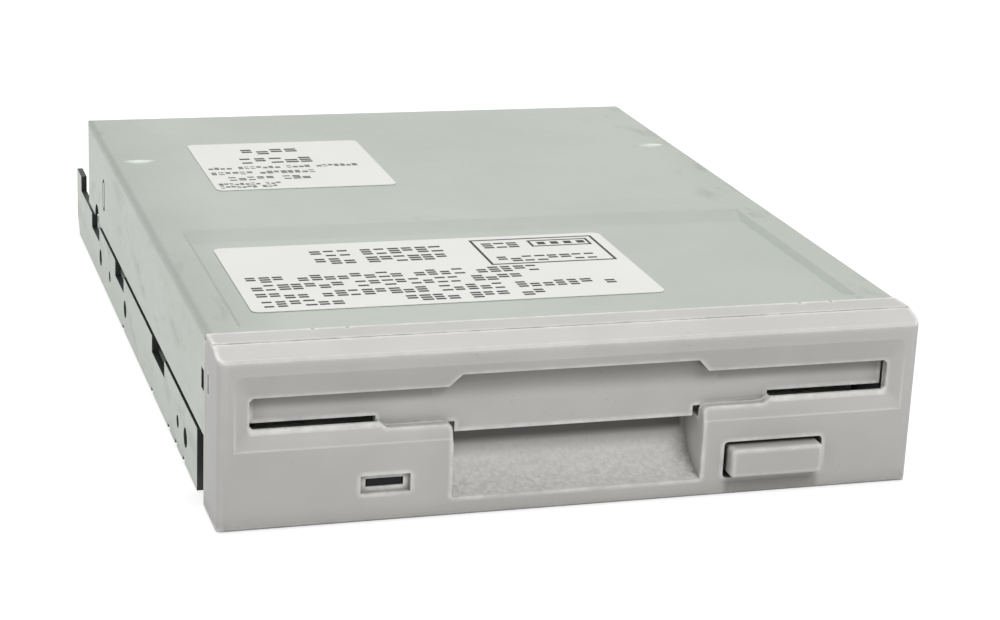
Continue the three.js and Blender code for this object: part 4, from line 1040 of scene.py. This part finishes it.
@dataclass
class MeshMaker:
    """Collects closed shapes in drive millimetres and makes one object of them."""

    name: str
    shape: bmesh.types.BMesh = field(default_factory=bmesh.new)

    def block(
        self,
        x: tuple[float, float],
        y: tuple[float, float],
        z: tuple[float, float],
        finish: int = 0,
    ) -> None:
        """Adds a block.

        Args:
            x: its left and right.
            y: its front and rear, measured behind the face.
            z: its bottom and top.
            finish: which of the object's finishes it has.
        """
        corners = []
        for level in z:
            for px, py in ((x[0], y[0]), (x[1], y[0]), (x[1], y[1]), (x[0], y[1])):
                corners.append(self.shape.verts.new(self.point(px, py, level)))
        for ring in ((3, 2, 1, 0), (4, 5, 6, 7), (0, 1, 5, 4), (1, 2, 6, 5), (2, 3, 7, 6), (3, 0, 4, 7)):
            self.shape.faces.new([corners[i] for i in ring]).material_index = finish

    def drum(
        self,
        centre: tuple[float, float],
        profile: list[tuple[float, float]],
        sides: int,
    ) -> None:
        """Adds an upright turned shape.

        Args:
            centre: its axis, as X and depth.
            profile: radius and height pairs from the bottom up, closed by flat ends.
            sides: how many sides it has.
        """
        rings = []
        for radius, level in profile:
            ring = []
            for i in range(sides):
                turn = 2 * math.pi * i / sides
                spot = self.point(
                    centre[0] + radius * math.cos(turn), centre[1] + radius * math.sin(turn), level
                )
                ring.append(self.shape.verts.new(spot))
            rings.append(ring)
        self.shape.faces.new(rings[0][::-1])
        self.shape.faces.new(rings[-1])
        for low, high in zip(rings, rings[1:]):
            for i in range(sides):
                j = (i + 1) % sides
                self.shape.faces.new([low[i], low[j], high[j], high[i]])

    @staticmethod
    def point(x: float, y: float, z: float) -> Vector:
        """Returns the frame's place of a spot given in drive millimetres."""
        return Vector((x / 1000, FACE_Y + y / 1000, z / 1000))

    def make(self, body: str, finishes: list[object], edge: float) -> bpy.types.Object:
        """Turns the shapes into an object that moves with a body.

        Args:
            body: the body's name.
            finishes: the object's finishes in order.
            edge: the rounding asked for in millimetres, which round_edges may hold to less.

        Returns:
            The object.
        """
        bmesh.ops.recalc_face_normals(self.shape, faces=self.shape.faces)
        mesh = bpy.data.meshes.new(self.name)
        self.shape.to_mesh(mesh)
        self.shape.free()
        for finish in finishes:
            mesh.materials.append(PALETTE.of(finish))
        piece = bpy.data.objects.new(self.name, mesh)
        bpy.context.scene.collection.objects.link(piece)
        for face in mesh.polygons:
            face.use_smooth = True
        mesh.set_sharp_from_angle(angle=EDGE_ANGLE)
        round_edges(piece, edge)
        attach(piece, body)
        LOG.info("%s: %d faces", self.name, len(mesh.polygons))
        return piece


@dataclass
class FrontBezel:
    """Moulded front with its dust door, eject button and lamp window."""

    edge: float = 0.28
    door_edge: float = 0.15
    button_edge: float = 0.1
    surround_half: float = 48.5
    surround: tuple[float, float] = (11.5, 22.1)
    near: float = 0.02
    face_near: float = 0.01

    def build(self) -> None:
        """Dresses the moulded pieces."""

        def on_rim(spot: Vector) -> bool:
            """Tells the points of the rim where the face folds into the slot's surround."""
            across = abs(spot.x) < self.surround_half + self.near
            upright = self.surround[0] - self.near < spot.z < self.surround[1] + self.near
            return across and upright and abs(spot.y) < self.face_near

        dress("front_bezel", Slot.BEZEL, self.edge, crisp=on_rim)
        dress("dust_door", Slot.BEZEL, self.door_edge)
        dress("eject_button", Slot.BEZEL, self.button_edge, joined=False)
        dress("lamp_window", Slot.LENS, 0.1, joined=False)
        dress("activity_lamp", Slot.WHITE, 0.1)
        dress("door_spring", Slot.SPRING, 0.0)
        # The side shields are dark guides inside the front corners; their black also stands in for the shade
        # in the gaps beside the bezel
        for side in ("left", "right"):
            dress(f"side_shield_{side}", Slot.DARK, 0.08)


@dataclass
class TopCover:
    """Pressed cover with its two printed labels."""

    edge: float = 0.3
    sheared_side: float = 0.85
    sheared_top: float = 0.4
    lift: float = 0.01
    ink: float = 0.012
    group: tuple[int, int] = (3, 8)
    mark_pitch: float = 0.8
    mark_width: tuple[float, float] = (0.55, 0.68)
    stroke_off: float = 0.4
    stroke_half: float = 0.12
    rule_gap: float = 0.01
    box_right: tuple[float, float] = (21.6, 2.0)
    box_rear: tuple[float, float] = (14.4, 1.8)
    box_rule: float = 0.42
    panel_rule: float = 0.4
    panel_pitch: float = 2.15
    panel_mark: float = 1.25
    large_rows: tuple[tuple[float, float, float, float, float], ...] = (
        (26.2, 14.0, 21.4, 2.7, 1.4),
        (22.2, 14.0, 21.4, 2.7, 1.4),
        (14.5, 1.9, 46.2, 2.5, 1.6),
        (10.7, 1.9, 42.6, 2.5, 1.6),
        (6.7, 1.9, 56.0, 2.5, 1.6),
        (3.0, 2.1, 13.4, 2.5, 1.6),
        (2.8, 23.1, 21.4, 2.5, 1.6),
    )
    small_rows: tuple[tuple[float, float, float, float, float], ...] = (
        (24.0, 8.6, 11.5, 3.2, 1.4),
        (18.0, 7.3, 14.6, 3.2, 1.4),
        (13.6, 0.9, 27.8, 1.3, 1.0),
        (10.3, 0.9, 19.2, 1.5, 1.0),
        (6.7, 3.2, 15.4, 2.0, 1.2),
        (3.4, 0.9, 10.6, 1.1, 0.8),
        (1.6, 0.9, 10.4, 1.1, 0.8),
    )

    def build(self) -> None:
        """Dresses the cover and prints its labels."""
        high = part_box("top_cover")[1]
        flange = high.x * 1000 - self.sheared_side
        top = high.z * 1000 - self.sheared_top

        def is_sheared(spot: Vector, way: Vector) -> bool:
            """Tells the cut edges of the flanges from their rolled faces."""
            return abs(spot.x) > flange and spot.z < top and abs(way.x) < 0.5

        dress("top_cover", Slot.ZINC, self.edge, SHEARED_AND_SHADE, is_sheared)
        for node in ("label_small", "label_large"):
            dress(node, Slot.PAPER, 0.02)
        self.print_label("label_large", "label_large_print", self.large_rows, 31, True)
        self.print_label("label_small", "label_small_print", self.small_rows, 47, False)

    def print_label(
        self,
        node: str,
        name: str,
        rows: tuple[tuple[float, float, float, float, float], ...],
        seed: int,
        framed: bool,
    ) -> None:
        """Prints rows of plain marks on a label.

        Args:
            node: the label.
            name: the print's name.
            rows: each row's height above the label's front edge, its indent, length, tallness and gaps.
            seed: fixes the marks.
            framed: adds a framed box at the far right.
        """
        low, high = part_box(node)
        left, front = low.x * 1000, (low.y - FACE_Y) * 1000
        right, rear = high.x * 1000, (high.y - FACE_Y) * 1000
        level = (high.z * 1000 + self.lift, high.z * 1000 + self.lift + self.ink)
        maker = MeshMaker(name)
        chance = random.Random(seed)
        for up, indent, length, tall, space in rows:
            start = left + indent
            self.print_row(maker, (start, start + length), front + up, tall, space, chance, level)
        if framed:
            x = (right - self.box_right[0], right - self.box_right[1])
            y = (rear - self.box_rear[0], rear - self.box_rear[1])
            self.print_box(maker, x, y, chance, level)
        maker.make("frame", [PRINT_BLACK], 0.0)

    def print_box(
        self,
        maker: MeshMaker,
        x: tuple[float, float],
        y: tuple[float, float],
        chance: random.Random,
        level: tuple[float, float],
    ) -> None:
        """Prints the framed box: a short row above a long one, and a small panel with four marks.

        Args:
            maker: collects the print.
            x: the box's left and right.
            y: its front and rear.
            chance: picks the marks.
            level: the ink's bottom and top.
        """
        self.print_frame(maker, x, y, self.box_rule, level)
        self.print_row(maker, (x[0] + 1.2, x[0] + 7.6), y[1] - 3.0, 2.5, 1.4, chance, level)
        self.print_row(maker, (x[0] + 1.6, x[1] - 1.4), y[0] + 2.4, 2.5, 1.6, chance, level)
        panel_x, panel_y = (x[0] + 9.0, x[1] - 1.2), (y[1] - 4.2, y[1] - 1.3)
        self.print_frame(maker, panel_x, panel_y, self.panel_rule, level)
        for i in range(4):
            start = panel_x[0] + 1.1 + self.panel_pitch * i
            maker.block((start, start + self.panel_mark), (panel_y[0] + 0.8, panel_y[1] - 0.8), level)

    def print_row(
        self,
        maker: MeshMaker,
        x: tuple[float, float],
        y: float,
        tall: float,
        space: float,
        chance: random.Random,
        level: tuple[float, float],
    ) -> None:
        """Prints one row of groups of marks, each mark two or three short level strokes.

        Args:
            maker: collects the print.
            x: the row's left and right.
            y: its middle.
            tall: its tallness.
            space: the gap between groups.
            chance: picks the marks.
            level: the ink's bottom and top.
        """
        off, half, step = self.stroke_off, self.stroke_half * tall, self.mark_pitch * tall
        place = x[0]
        while place + step <= x[1]:
            for _ in range(chance.randint(*self.group)):
                if place + step > x[1]:
                    break
                wide = tall * chance.uniform(*self.mark_width)
                for share in chance.choice(((-off, off), (-off, 0.0, off), (-off, 0.0), (0.0, off))):
                    middle = y + share * tall
                    maker.block((place, place + wide), (middle - half, middle + half), level)
                place += step
            place += space

    def print_frame(
        self,
        maker: MeshMaker,
        x: tuple[float, float],
        y: tuple[float, float],
        line: float,
        level: tuple[float, float],
    ) -> None:
        """Prints a ruled box.

        Args:
            maker: collects the print.
            x: the box's left and right.
            y: its front and rear.
            line: the width of its rule.
            level: the ink's bottom and top.
        """
        half = line / 2
        for edge in y:
            maker.block((x[0] - half, x[1] + half), (edge - half, edge + half), level)
        upright = (y[0] + half + self.rule_gap, y[1] - half - self.rule_gap)
        for side in x:
            maker.block((side - half, side + half), upright, level)


@dataclass
class PressedChassis:
    """Pressed steel floor and walls."""

    edge: float = 0.18
    sheared_side: float = 1.05

    def build(self) -> None:
        """Dresses the chassis."""
        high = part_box("chassis")[1]
        wall = high.x * 1000 - self.sheared_side

        def is_sheared(spot: Vector, way: Vector) -> bool:
            """Tells the cut edges of the side walls from their rolled faces."""
            return abs(spot.x) > wall and abs(way.x) < 0.5

        dress("chassis", Slot.ZINC, self.edge, SHEARED_AND_SHADE, is_sheared, joined=False)


@dataclass
class EjectMechanism:
    """Slide, disk holder, shutter lever and springs."""

    edge: float = 0.12
    # How far the slide goes, in metres like the spring's box
    travel: float = 0.0055

    def build(self) -> None:
        """Dresses the pressed pieces and the springs."""
        for node in ("slide_plate", "disk_holder", "shutter_lever"):
            dress(node, Slot.ZINC, self.edge, joined=node == "disk_holder")
        dress("lever_pivot", Slot.BRIGHT, 0.15)
        for side in ("left", "right"):
            self.coil(side)

    def coil(self, side: str) -> None:
        """Adds a copy of an eject spring, carried by the frame, in place of the imported one.

        Args:
            side: left or right.
        """
        node = f"eject_spring_{side}"
        solid = dress(node, Slot.SPRING, 0.0)
        coil = bpy.data.objects.new(f"eject_coil_{side}", solid.data.copy())
        bpy.context.scene.collection.objects.link(coil)
        round_edges(coil, 0.0)
        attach(coil, "frame")
        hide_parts(node)
        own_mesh(coil)


@dataclass
class SmallParts:
    """Chip parts on the underside of a board."""

    name: str
    under: float
    area: tuple[tuple[float, float], tuple[float, float]]
    count: int
    seed: int
    avoid: list[tuple[float, float, float]]
    tries: int = 12
    room: float = 1.9
    reach: float = 0.6
    lengthwise: float = 0.5
    resistors: float = 0.55
    half: float = 0.62
    wide: float = 0.62
    tall: float = 0.55
    end: float = 0.5
    solder: float = 0.06
    stand_off: float = 0.02

    def build(self) -> None:
        """Places chip resistors and capacitors clear of each other and of what the board carries."""
        chance = random.Random(self.seed)
        maker = MeshMaker(self.name)
        taken = list(self.avoid)
        placed = 0
        for _ in range(self.count * self.tries):
            if placed >= self.count:
                break
            x = round(chance.uniform(*self.area[0]) * 2) / 2
            y = round(chance.uniform(*self.area[1]) * 2) / 2
            if any(math.hypot(x - a, y - b) < r + self.room for a, b, r in taken):
                continue
            taken.append((x, y, self.reach))
            placed += 1
            along = chance.random() < self.lengthwise
            self.chip(maker, x, y, along, 0 if chance.random() < self.resistors else 2)
        maker.make("frame", [Slot.DARK, TINNED, TAN_CERAMIC], 0.05)

    def chip(self, maker: MeshMaker, x: float, y: float, along: bool, finish: int) -> None:
        """Adds one chip part with its two soldered ends.

        Args:
            maker: collects the parts.
            x: its middle across.
            y: its middle behind the face.
            along: whether it lies along the drive.
            finish: its middle's finish.
        """
        half = self.half
        top = self.under - self.stand_off
        spans = ((-half - self.end, -half, 1), (-half, half, finish), (half, half + self.end, 1))
        for start, stop, tone in spans:
            swell = self.solder if tone == 1 else 0.0
            length, across = (start, stop), (-self.wide - swell, self.wide + swell)
            sx, sy = (across, length) if along else (length, across)
            level = (top - self.tall - swell, top)
            maker.block((x + sx[0], x + sx[1]), (y + sy[0], y + sy[1]), level, tone)


@dataclass
class SpindleMotor:
    """Direct drive motor that turns the disk."""

    parts: int = 26
    seed: int = 11
    under: float = 4.6
    area: tuple[tuple[float, float], tuple[float, float]] = ((-33.0, 33.0), (19.0, 84.0))
    pole_reach: float = 17.02
    hub_reach: float = 9.0
    screw_x: tuple[float, ...] = (-31.0, 31.0)
    screw_y: tuple[float, ...] = (24.0, 78.0)
    screw_room: float = 2.6
    cable_x: tuple[float, ...] = (-12.0, -9.0, -6.0, -3.0)
    cable_y: tuple[float, ...] = (80.0, 83.0, 86.0)
    cable_room: float = 1.6

    def build(self) -> None:
        """Dresses the motor and adds the chip parts under its board."""
        dress("motor_board", Slot.BOARD, 0.1)
        dress("spindle_bearing", Slot.BRONZE, 0.1)
        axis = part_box("rotor_cup")
        middle_y = ((axis[0].y + axis[1].y) / 2 - FACE_Y) * 1000

        def is_core(spot: Vector, _way: Vector) -> bool:
            """Tells the bare pole tips and hub from the windings."""
            reach = math.hypot(spot.x, spot.y - middle_y)
            return reach > self.pole_reach or reach < self.hub_reach

        dress("stator", Slot.WINDING, 0.04, LAMINATIONS, is_core, joined=False)
        dress("rotor_cup", Slot.ZINC, 0.2)
        dress("rotor_magnet", Slot.MAGNET, 0.1)
        dress("spindle_hub", Slot.BRIGHT, 0.15)
        dress("drive_pin", Slot.BRIGHT, 0.15)
        dress("motor_cable", Slot.WHITE, 0.05)
        for number in (1, 2, 3, 4):
            dress(f"motor_screw_{number}", Slot.BRIGHT, 0.25)
        avoid = [(x, y, self.screw_room) for x in self.screw_x for y in self.screw_y]
        avoid += [(x, y, self.cable_room) for x in self.cable_x for y in self.cable_y]
        SmallParts("motor_board_parts", self.under, self.area, self.parts, self.seed, avoid).build()


@dataclass
class HeadDrive:
    """Stepper motor, lead screw, guide rod, carriage and heads."""

    def build(self) -> None:
        """Dresses the head drive."""
        for node in ("stepper_motor", "stepper_bracket", "upper_head_arm"):
            dress(node, Slot.ZINC, 0.15)
        for node in ("screw_bearing", "rod_clip_front", "rod_clip_rear"):
            dress(node, Slot.DARK, 0.1, joined=False)
        for node in ("head_carriage", "track_zero_sensor"):
            dress(node, Slot.DARK, 0.15)
        for node in ("guide_rod", "follower_pin", "bracket_screw"):
            dress(node, Slot.BRIGHT, 0.12)
        dress("lead_screw", Slot.BRIGHT, 0.0)
        dress("stepper_cable", Slot.WHITE, 0.05)
        for node in ("lower_head", "upper_head"):
            dress(node, Slot.CERAMIC, 0.15)


@dataclass
class ControlBoard:
    """Main board with its controller, connectors and small parts."""

    parts: int = 46
    seed: int = 23
    under: float = 1.8
    area: tuple[tuple[float, float], tuple[float, float]] = ((-46.0, 46.0), (98.0, 143.0))
    header_rear: float = 142.62
    shroud: float = 1.2
    pin_height: tuple[float, float] = (5.6, 6.8)
    pin_behind: tuple[float, float] = (139.7, 147.0)
    screw_x: tuple[float, ...] = (-42.0, 42.0)
    screw_y: float = 102.0
    screw_room: float = 2.6
    chip: tuple[float, float] = (-22.0, 132.0)
    chip_room: float = 9.6
    motor_x: tuple[float, ...] = (5.8, 12.0, 18.0, 24.0, 28.0)
    motor_y: tuple[float, ...] = (118.0, 124.0, 130.0, 136.0)
    motor_room: float = 3.2
    header_x: range = range(-6, 41, 4)
    header_y: float = 144.0
    header_room: float = 2.6
    socket_x: range = range(-42, -24, 4)
    socket_y: float = 143.0
    socket_room: float = 3.0
    solder_top: float = 1.78
    leads: int = 13
    lead_pitch: float = 0.8
    lead_half: float = 0.17
    lead_thick: float = 0.16
    lead_arm: float = 0.5
    lead_knee: float = 0.72
    lead_foot: tuple[float, float] = (0.73, 1.68)
    header_pins: int = 17
    header_pitch: float = 2.54
    header_middle: float = 16.25
    header_rows: tuple[float, float] = (140.0, 142.0)
    motor_side: tuple[float, float] = (5.0, 27.0)
    socket_pins: int = 4
    socket_pitch: float = 2.5
    socket_middle: tuple[float, float] = (-34.5, 140.5)

    def build(self) -> None:
        """Dresses the board and adds leads and chip parts."""
        dress("main_board", Slot.BOARD, 0.1)
        dress("controller_chip", Slot.DARK, 0.1)
        dress(
            "signal_connector", Slot.DARK, 0.0, CONTACT_GOLD, lambda spot, _way: spot.y > self.header_rear
        )
        low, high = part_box("power_connector")

        def is_pin(spot: Vector, _way: Vector) -> bool:
            """Tells the four contacts from the shroud around them."""
            across = low.x * 1000 + self.shroud < spot.x < high.x * 1000 - self.shroud
            upright = self.pin_height[0] < spot.z < self.pin_height[1]
            return across and upright and self.pin_behind[0] < spot.y < self.pin_behind[1]

        dress("power_connector", Slot.WHITE, 0.06, TINNED, is_pin, joined=False)
        for number in (1, 2):
            dress(f"board_screw_{number}", Slot.BRIGHT, 0.25)
        self.solder_leads()
        avoid = [(x, self.screw_y, self.screw_room) for x in self.screw_x]
        avoid.append((*self.chip, self.chip_room))
        avoid += [(x, y, self.motor_room) for x in self.motor_x for y in self.motor_y]
        avoid += [(x, self.header_y, self.header_room) for x in self.header_x]
        avoid += [(x, self.socket_y, self.socket_room) for x in self.socket_x]
        SmallParts("main_board_parts", self.under, self.area, self.parts, self.seed, avoid).build()

    def solder_leads(self) -> None:
        """Adds the controller's bent leads on all four sides, and the connectors' soldered tails."""
        low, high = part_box("controller_chip")
        sides = (
            (low.x * 1000, high.x * 1000),
            ((low.y - FACE_Y) * 1000, (high.y - FACE_Y) * 1000),
        )
        middle, thick = (low.z + high.z) * 500, self.lead_thick
        top = self.solder_top
        bends = (
            (0.0, self.lead_arm, (middle - thick / 2, middle + thick / 2)),
            (self.lead_arm, self.lead_knee, (middle - thick / 2, top)),
            (*self.lead_foot, (top - thick, top)),
        )
        maker = MeshMaker("controller_leads")
        for i in range(self.leads):
            step = (i - (self.leads - 1) / 2) * self.lead_pitch
            for axis, ends in enumerate(sides):
                place = sum(sides[1 - axis]) / 2 + step
                across = (place - self.lead_half, place + self.lead_half)
                for edge, way in zip(ends, (-1, 1)):
                    for near, far, level in bends:
                        along = tuple(sorted((edge + way * near, edge + way * far)))
                        x, y = (along, across) if axis == 0 else (across, along)
                        maker.block(x, y, level)
        maker.make("frame", [TINNED], 0.0)
        self.solder_tails()

    def solder_tails(self) -> None:
        """Adds the soldered tails of the header and the power socket, but none under the motor."""
        tails = MeshMaker("connector_tails")
        top = self.solder_top
        for column in range(self.header_pins):
            x = self.header_middle + (column - (self.header_pins - 1) / 2) * self.header_pitch
            for y in self.header_rows:
                if y == self.header_rows[0] and self.motor_side[0] < x < self.motor_side[1]:
                    continue
                tails.drum((x, y), [(0.25, 0.7), (0.35, 0.8), (0.5, 1.3), (0.95, top)], 10)
        for i in range(self.socket_pins):
            x = self.socket_middle[0] + (i - (self.socket_pins - 1) / 2) * self.socket_pitch
            spot = (x, self.socket_middle[1])
            tails.drum(spot, [(0.35, 0.6), (0.45, 0.7), (0.7, 1.2), (1.2, top)], 12)
        tails.make("frame", [TINNED], 0.0)


@dataclass
class SenseSwitches:
    """Two small plunger switches that feel the disk."""

    def build(self) -> None:
        """Dresses the switches and their plungers."""
        for kind in ("density", "write_protect"):
            dress(f"{kind}_switch", Slot.DARK, 0.12)
            dress(f"{kind}_plunger", Slot.WHITE, 0.15)


@dataclass(frozen=True)
class Lamp:
    """A soft square lamp.

    Attributes:
        name: its name.
        place: where it hangs, in metres.
        size: its side in metres.
        power: its power in watts.
    """

    name: str
    place: tuple[float, float, float]
    size: float
    power: float

    def hang(self, aim: tuple[float, float, float]) -> None:
        """Adds the lamp, facing a point."""
        light = bpy.data.lights.new(self.name, "AREA")
        light.size = self.size
        light.energy = self.power
        lamp = bpy.data.objects.new(self.name, light)
        lamp.location = self.place
        lamp.rotation_euler = (Vector(self.place) - Vector(aim)).to_track_quat("Z", "Y").to_euler()
        bpy.context.scene.collection.objects.link(lamp)


@dataclass
class Studio:
    """Pale floor, soft lamps and the camera, placed in metres."""

    place: tuple[float, float, float] = (-0.103985, -0.363776, 0.128138)
    azimuth: float = 17.4594
    elevation: float = 17.9064
    roll: float = 2.5325
    lens: float = 85.657
    floor_colour: str = "#B2B2B2"
    floor_glow: float = 0.78
    floor_half: float = 4.0
    floor_drop: float = 0.0002
    world_level: float = 0.42
    aim: tuple[float, float, float] = (0.0, 0.0, 0.01)
    # A key lamp high in front with a broad low one under it, a broad one overhead, a soft one from the left
    # and a small one high behind, whose gloss picks out the slopes of the cover
    lamps: tuple[Lamp, ...] = (
        Lamp("key", (0.25, -0.75, 0.75), 0.4, 3.5),
        Lamp("front", (-0.1, -1.0, 0.25), 0.8, 1.2),
        Lamp("overhead", (0.05, 0.28, 0.96), 0.6, 3.1),
        Lamp("left", (-0.95, -0.1, 0.2), 0.5, 1.9),
        Lamp("rear", (0.1, 0.75, 0.78), 0.25, 0.3),
    )

    def build(self) -> None:
        """Sets up the studio."""
        self.camera()
        self.floor()
        self.world()
        for lamp in self.lamps:
            lamp.hang(self.aim)

    def camera(self) -> None:
        """Adds the camera at the photographed angle."""
        lens = bpy.data.cameras.new("camera")
        lens.lens = self.lens
        lens.sensor_width = 36.0
        lens.clip_start, lens.clip_end = 0.01, 20.0
        camera = bpy.data.objects.new("camera", lens)
        bpy.context.scene.collection.objects.link(camera)
        turn = (
            Matrix.Rotation(math.radians(-self.azimuth), 4, "Z")
            @ Matrix.Rotation(math.radians(90 - self.elevation), 4, "X")
            @ Matrix.Rotation(math.radians(self.roll), 4, "Z")
        )
        camera.matrix_world = Matrix.Translation(self.place) @ turn
        bpy.context.scene.camera = camera

    @staticmethod
    def seen(tree: bpy.types.NodeTree) -> bpy.types.NodeSocket:
        """Adds the test for rays from the camera or off glossy and clear surfaces, and returns it."""
        path = add_node(tree, "ShaderNodeLightPath")
        first = add_node(
            tree,
            "ShaderNodeMath",
            {"operation": "MAXIMUM"},
            {0: path.outputs["Is Camera Ray"], 1: path.outputs["Is Glossy Ray"]},
        )
        return add_node(
            tree,
            "ShaderNodeMath",
            {"operation": "MAXIMUM"},
            {0: first.outputs[0], 1: path.outputs["Is Transmission Ray"]},
        ).outputs[0]

    def floor(self) -> None:
        """Adds the pale floor, which shows near white and keeps the shadow."""
        material = bpy.data.materials.new("studio_floor")
        material.use_nodes = True
        tree = material.node_tree
        tree.nodes.clear()
        plain = add_node(tree, "ShaderNodeBsdfDiffuse", {"Color": linear(self.floor_colour)})
        lift = add_node(
            tree, "ShaderNodeMath", {"operation": "MULTIPLY", 1: self.floor_glow}, {0: self.seen(tree)}
        )
        glow = add_node(tree, "ShaderNodeEmission", {}, {"Strength": lift.outputs[0]})
        both = add_node(tree, "ShaderNodeAddShader", {}, {0: plain.outputs[0], 1: glow.outputs[0]})
        add_node(tree, "ShaderNodeOutputMaterial", {}, {"Surface": both.outputs[0]})
        maker = bmesh.new()
        bmesh.ops.create_grid(maker, x_segments=8, y_segments=8, size=self.floor_half)
        mesh = bpy.data.meshes.new("studio_floor")
        maker.to_mesh(mesh)
        maker.free()
        mesh.materials.append(material)
        floor = bpy.data.objects.new("studio_floor", mesh)
        floor.location.z = -self.floor_drop
        bpy.context.scene.collection.objects.link(floor)

    def world(self) -> None:
        """Sets a plain sky that the camera and glossy surfaces see as white."""
        world = bpy.data.worlds.new("studio_sky")
        world.use_nodes = True
        tree = world.node_tree
        tree.nodes.clear()
        level = add_node(
            tree,
            "ShaderNodeMapRange",
            {"To Min": self.world_level, "To Max": 1.0},
            {"Value": self.seen(tree)},
        )
        sky = add_node(tree, "ShaderNodeBackground", {}, {"Strength": level.outputs[0]})
        add_node(tree, "ShaderNodeOutputWorld", {}, {"Surface": sky.outputs[0]})
        bpy.context.scene.world = world


def main() -> None:
    """Builds the whole look in order."""
    logging.basicConfig(level=logging.INFO, format="%(message)s")
    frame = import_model()
    NODES.update(frame["nodes"])
    for assembly in (
        FrontBezel(),
        TopCover(),
        PressedChassis(),
        EjectMechanism(),
        SpindleMotor(),
        HeadDrive(),
        ControlBoard(),
        SenseSwitches(),
        Studio(),
    ):
        assembly.build()
        LOG.info("%s done", type(assembly).__name__)
    bpy.context.scene.view_settings.view_transform = "Standard"
    bpy.context.view_layer.update()


if __name__ == "__main__":
    main()
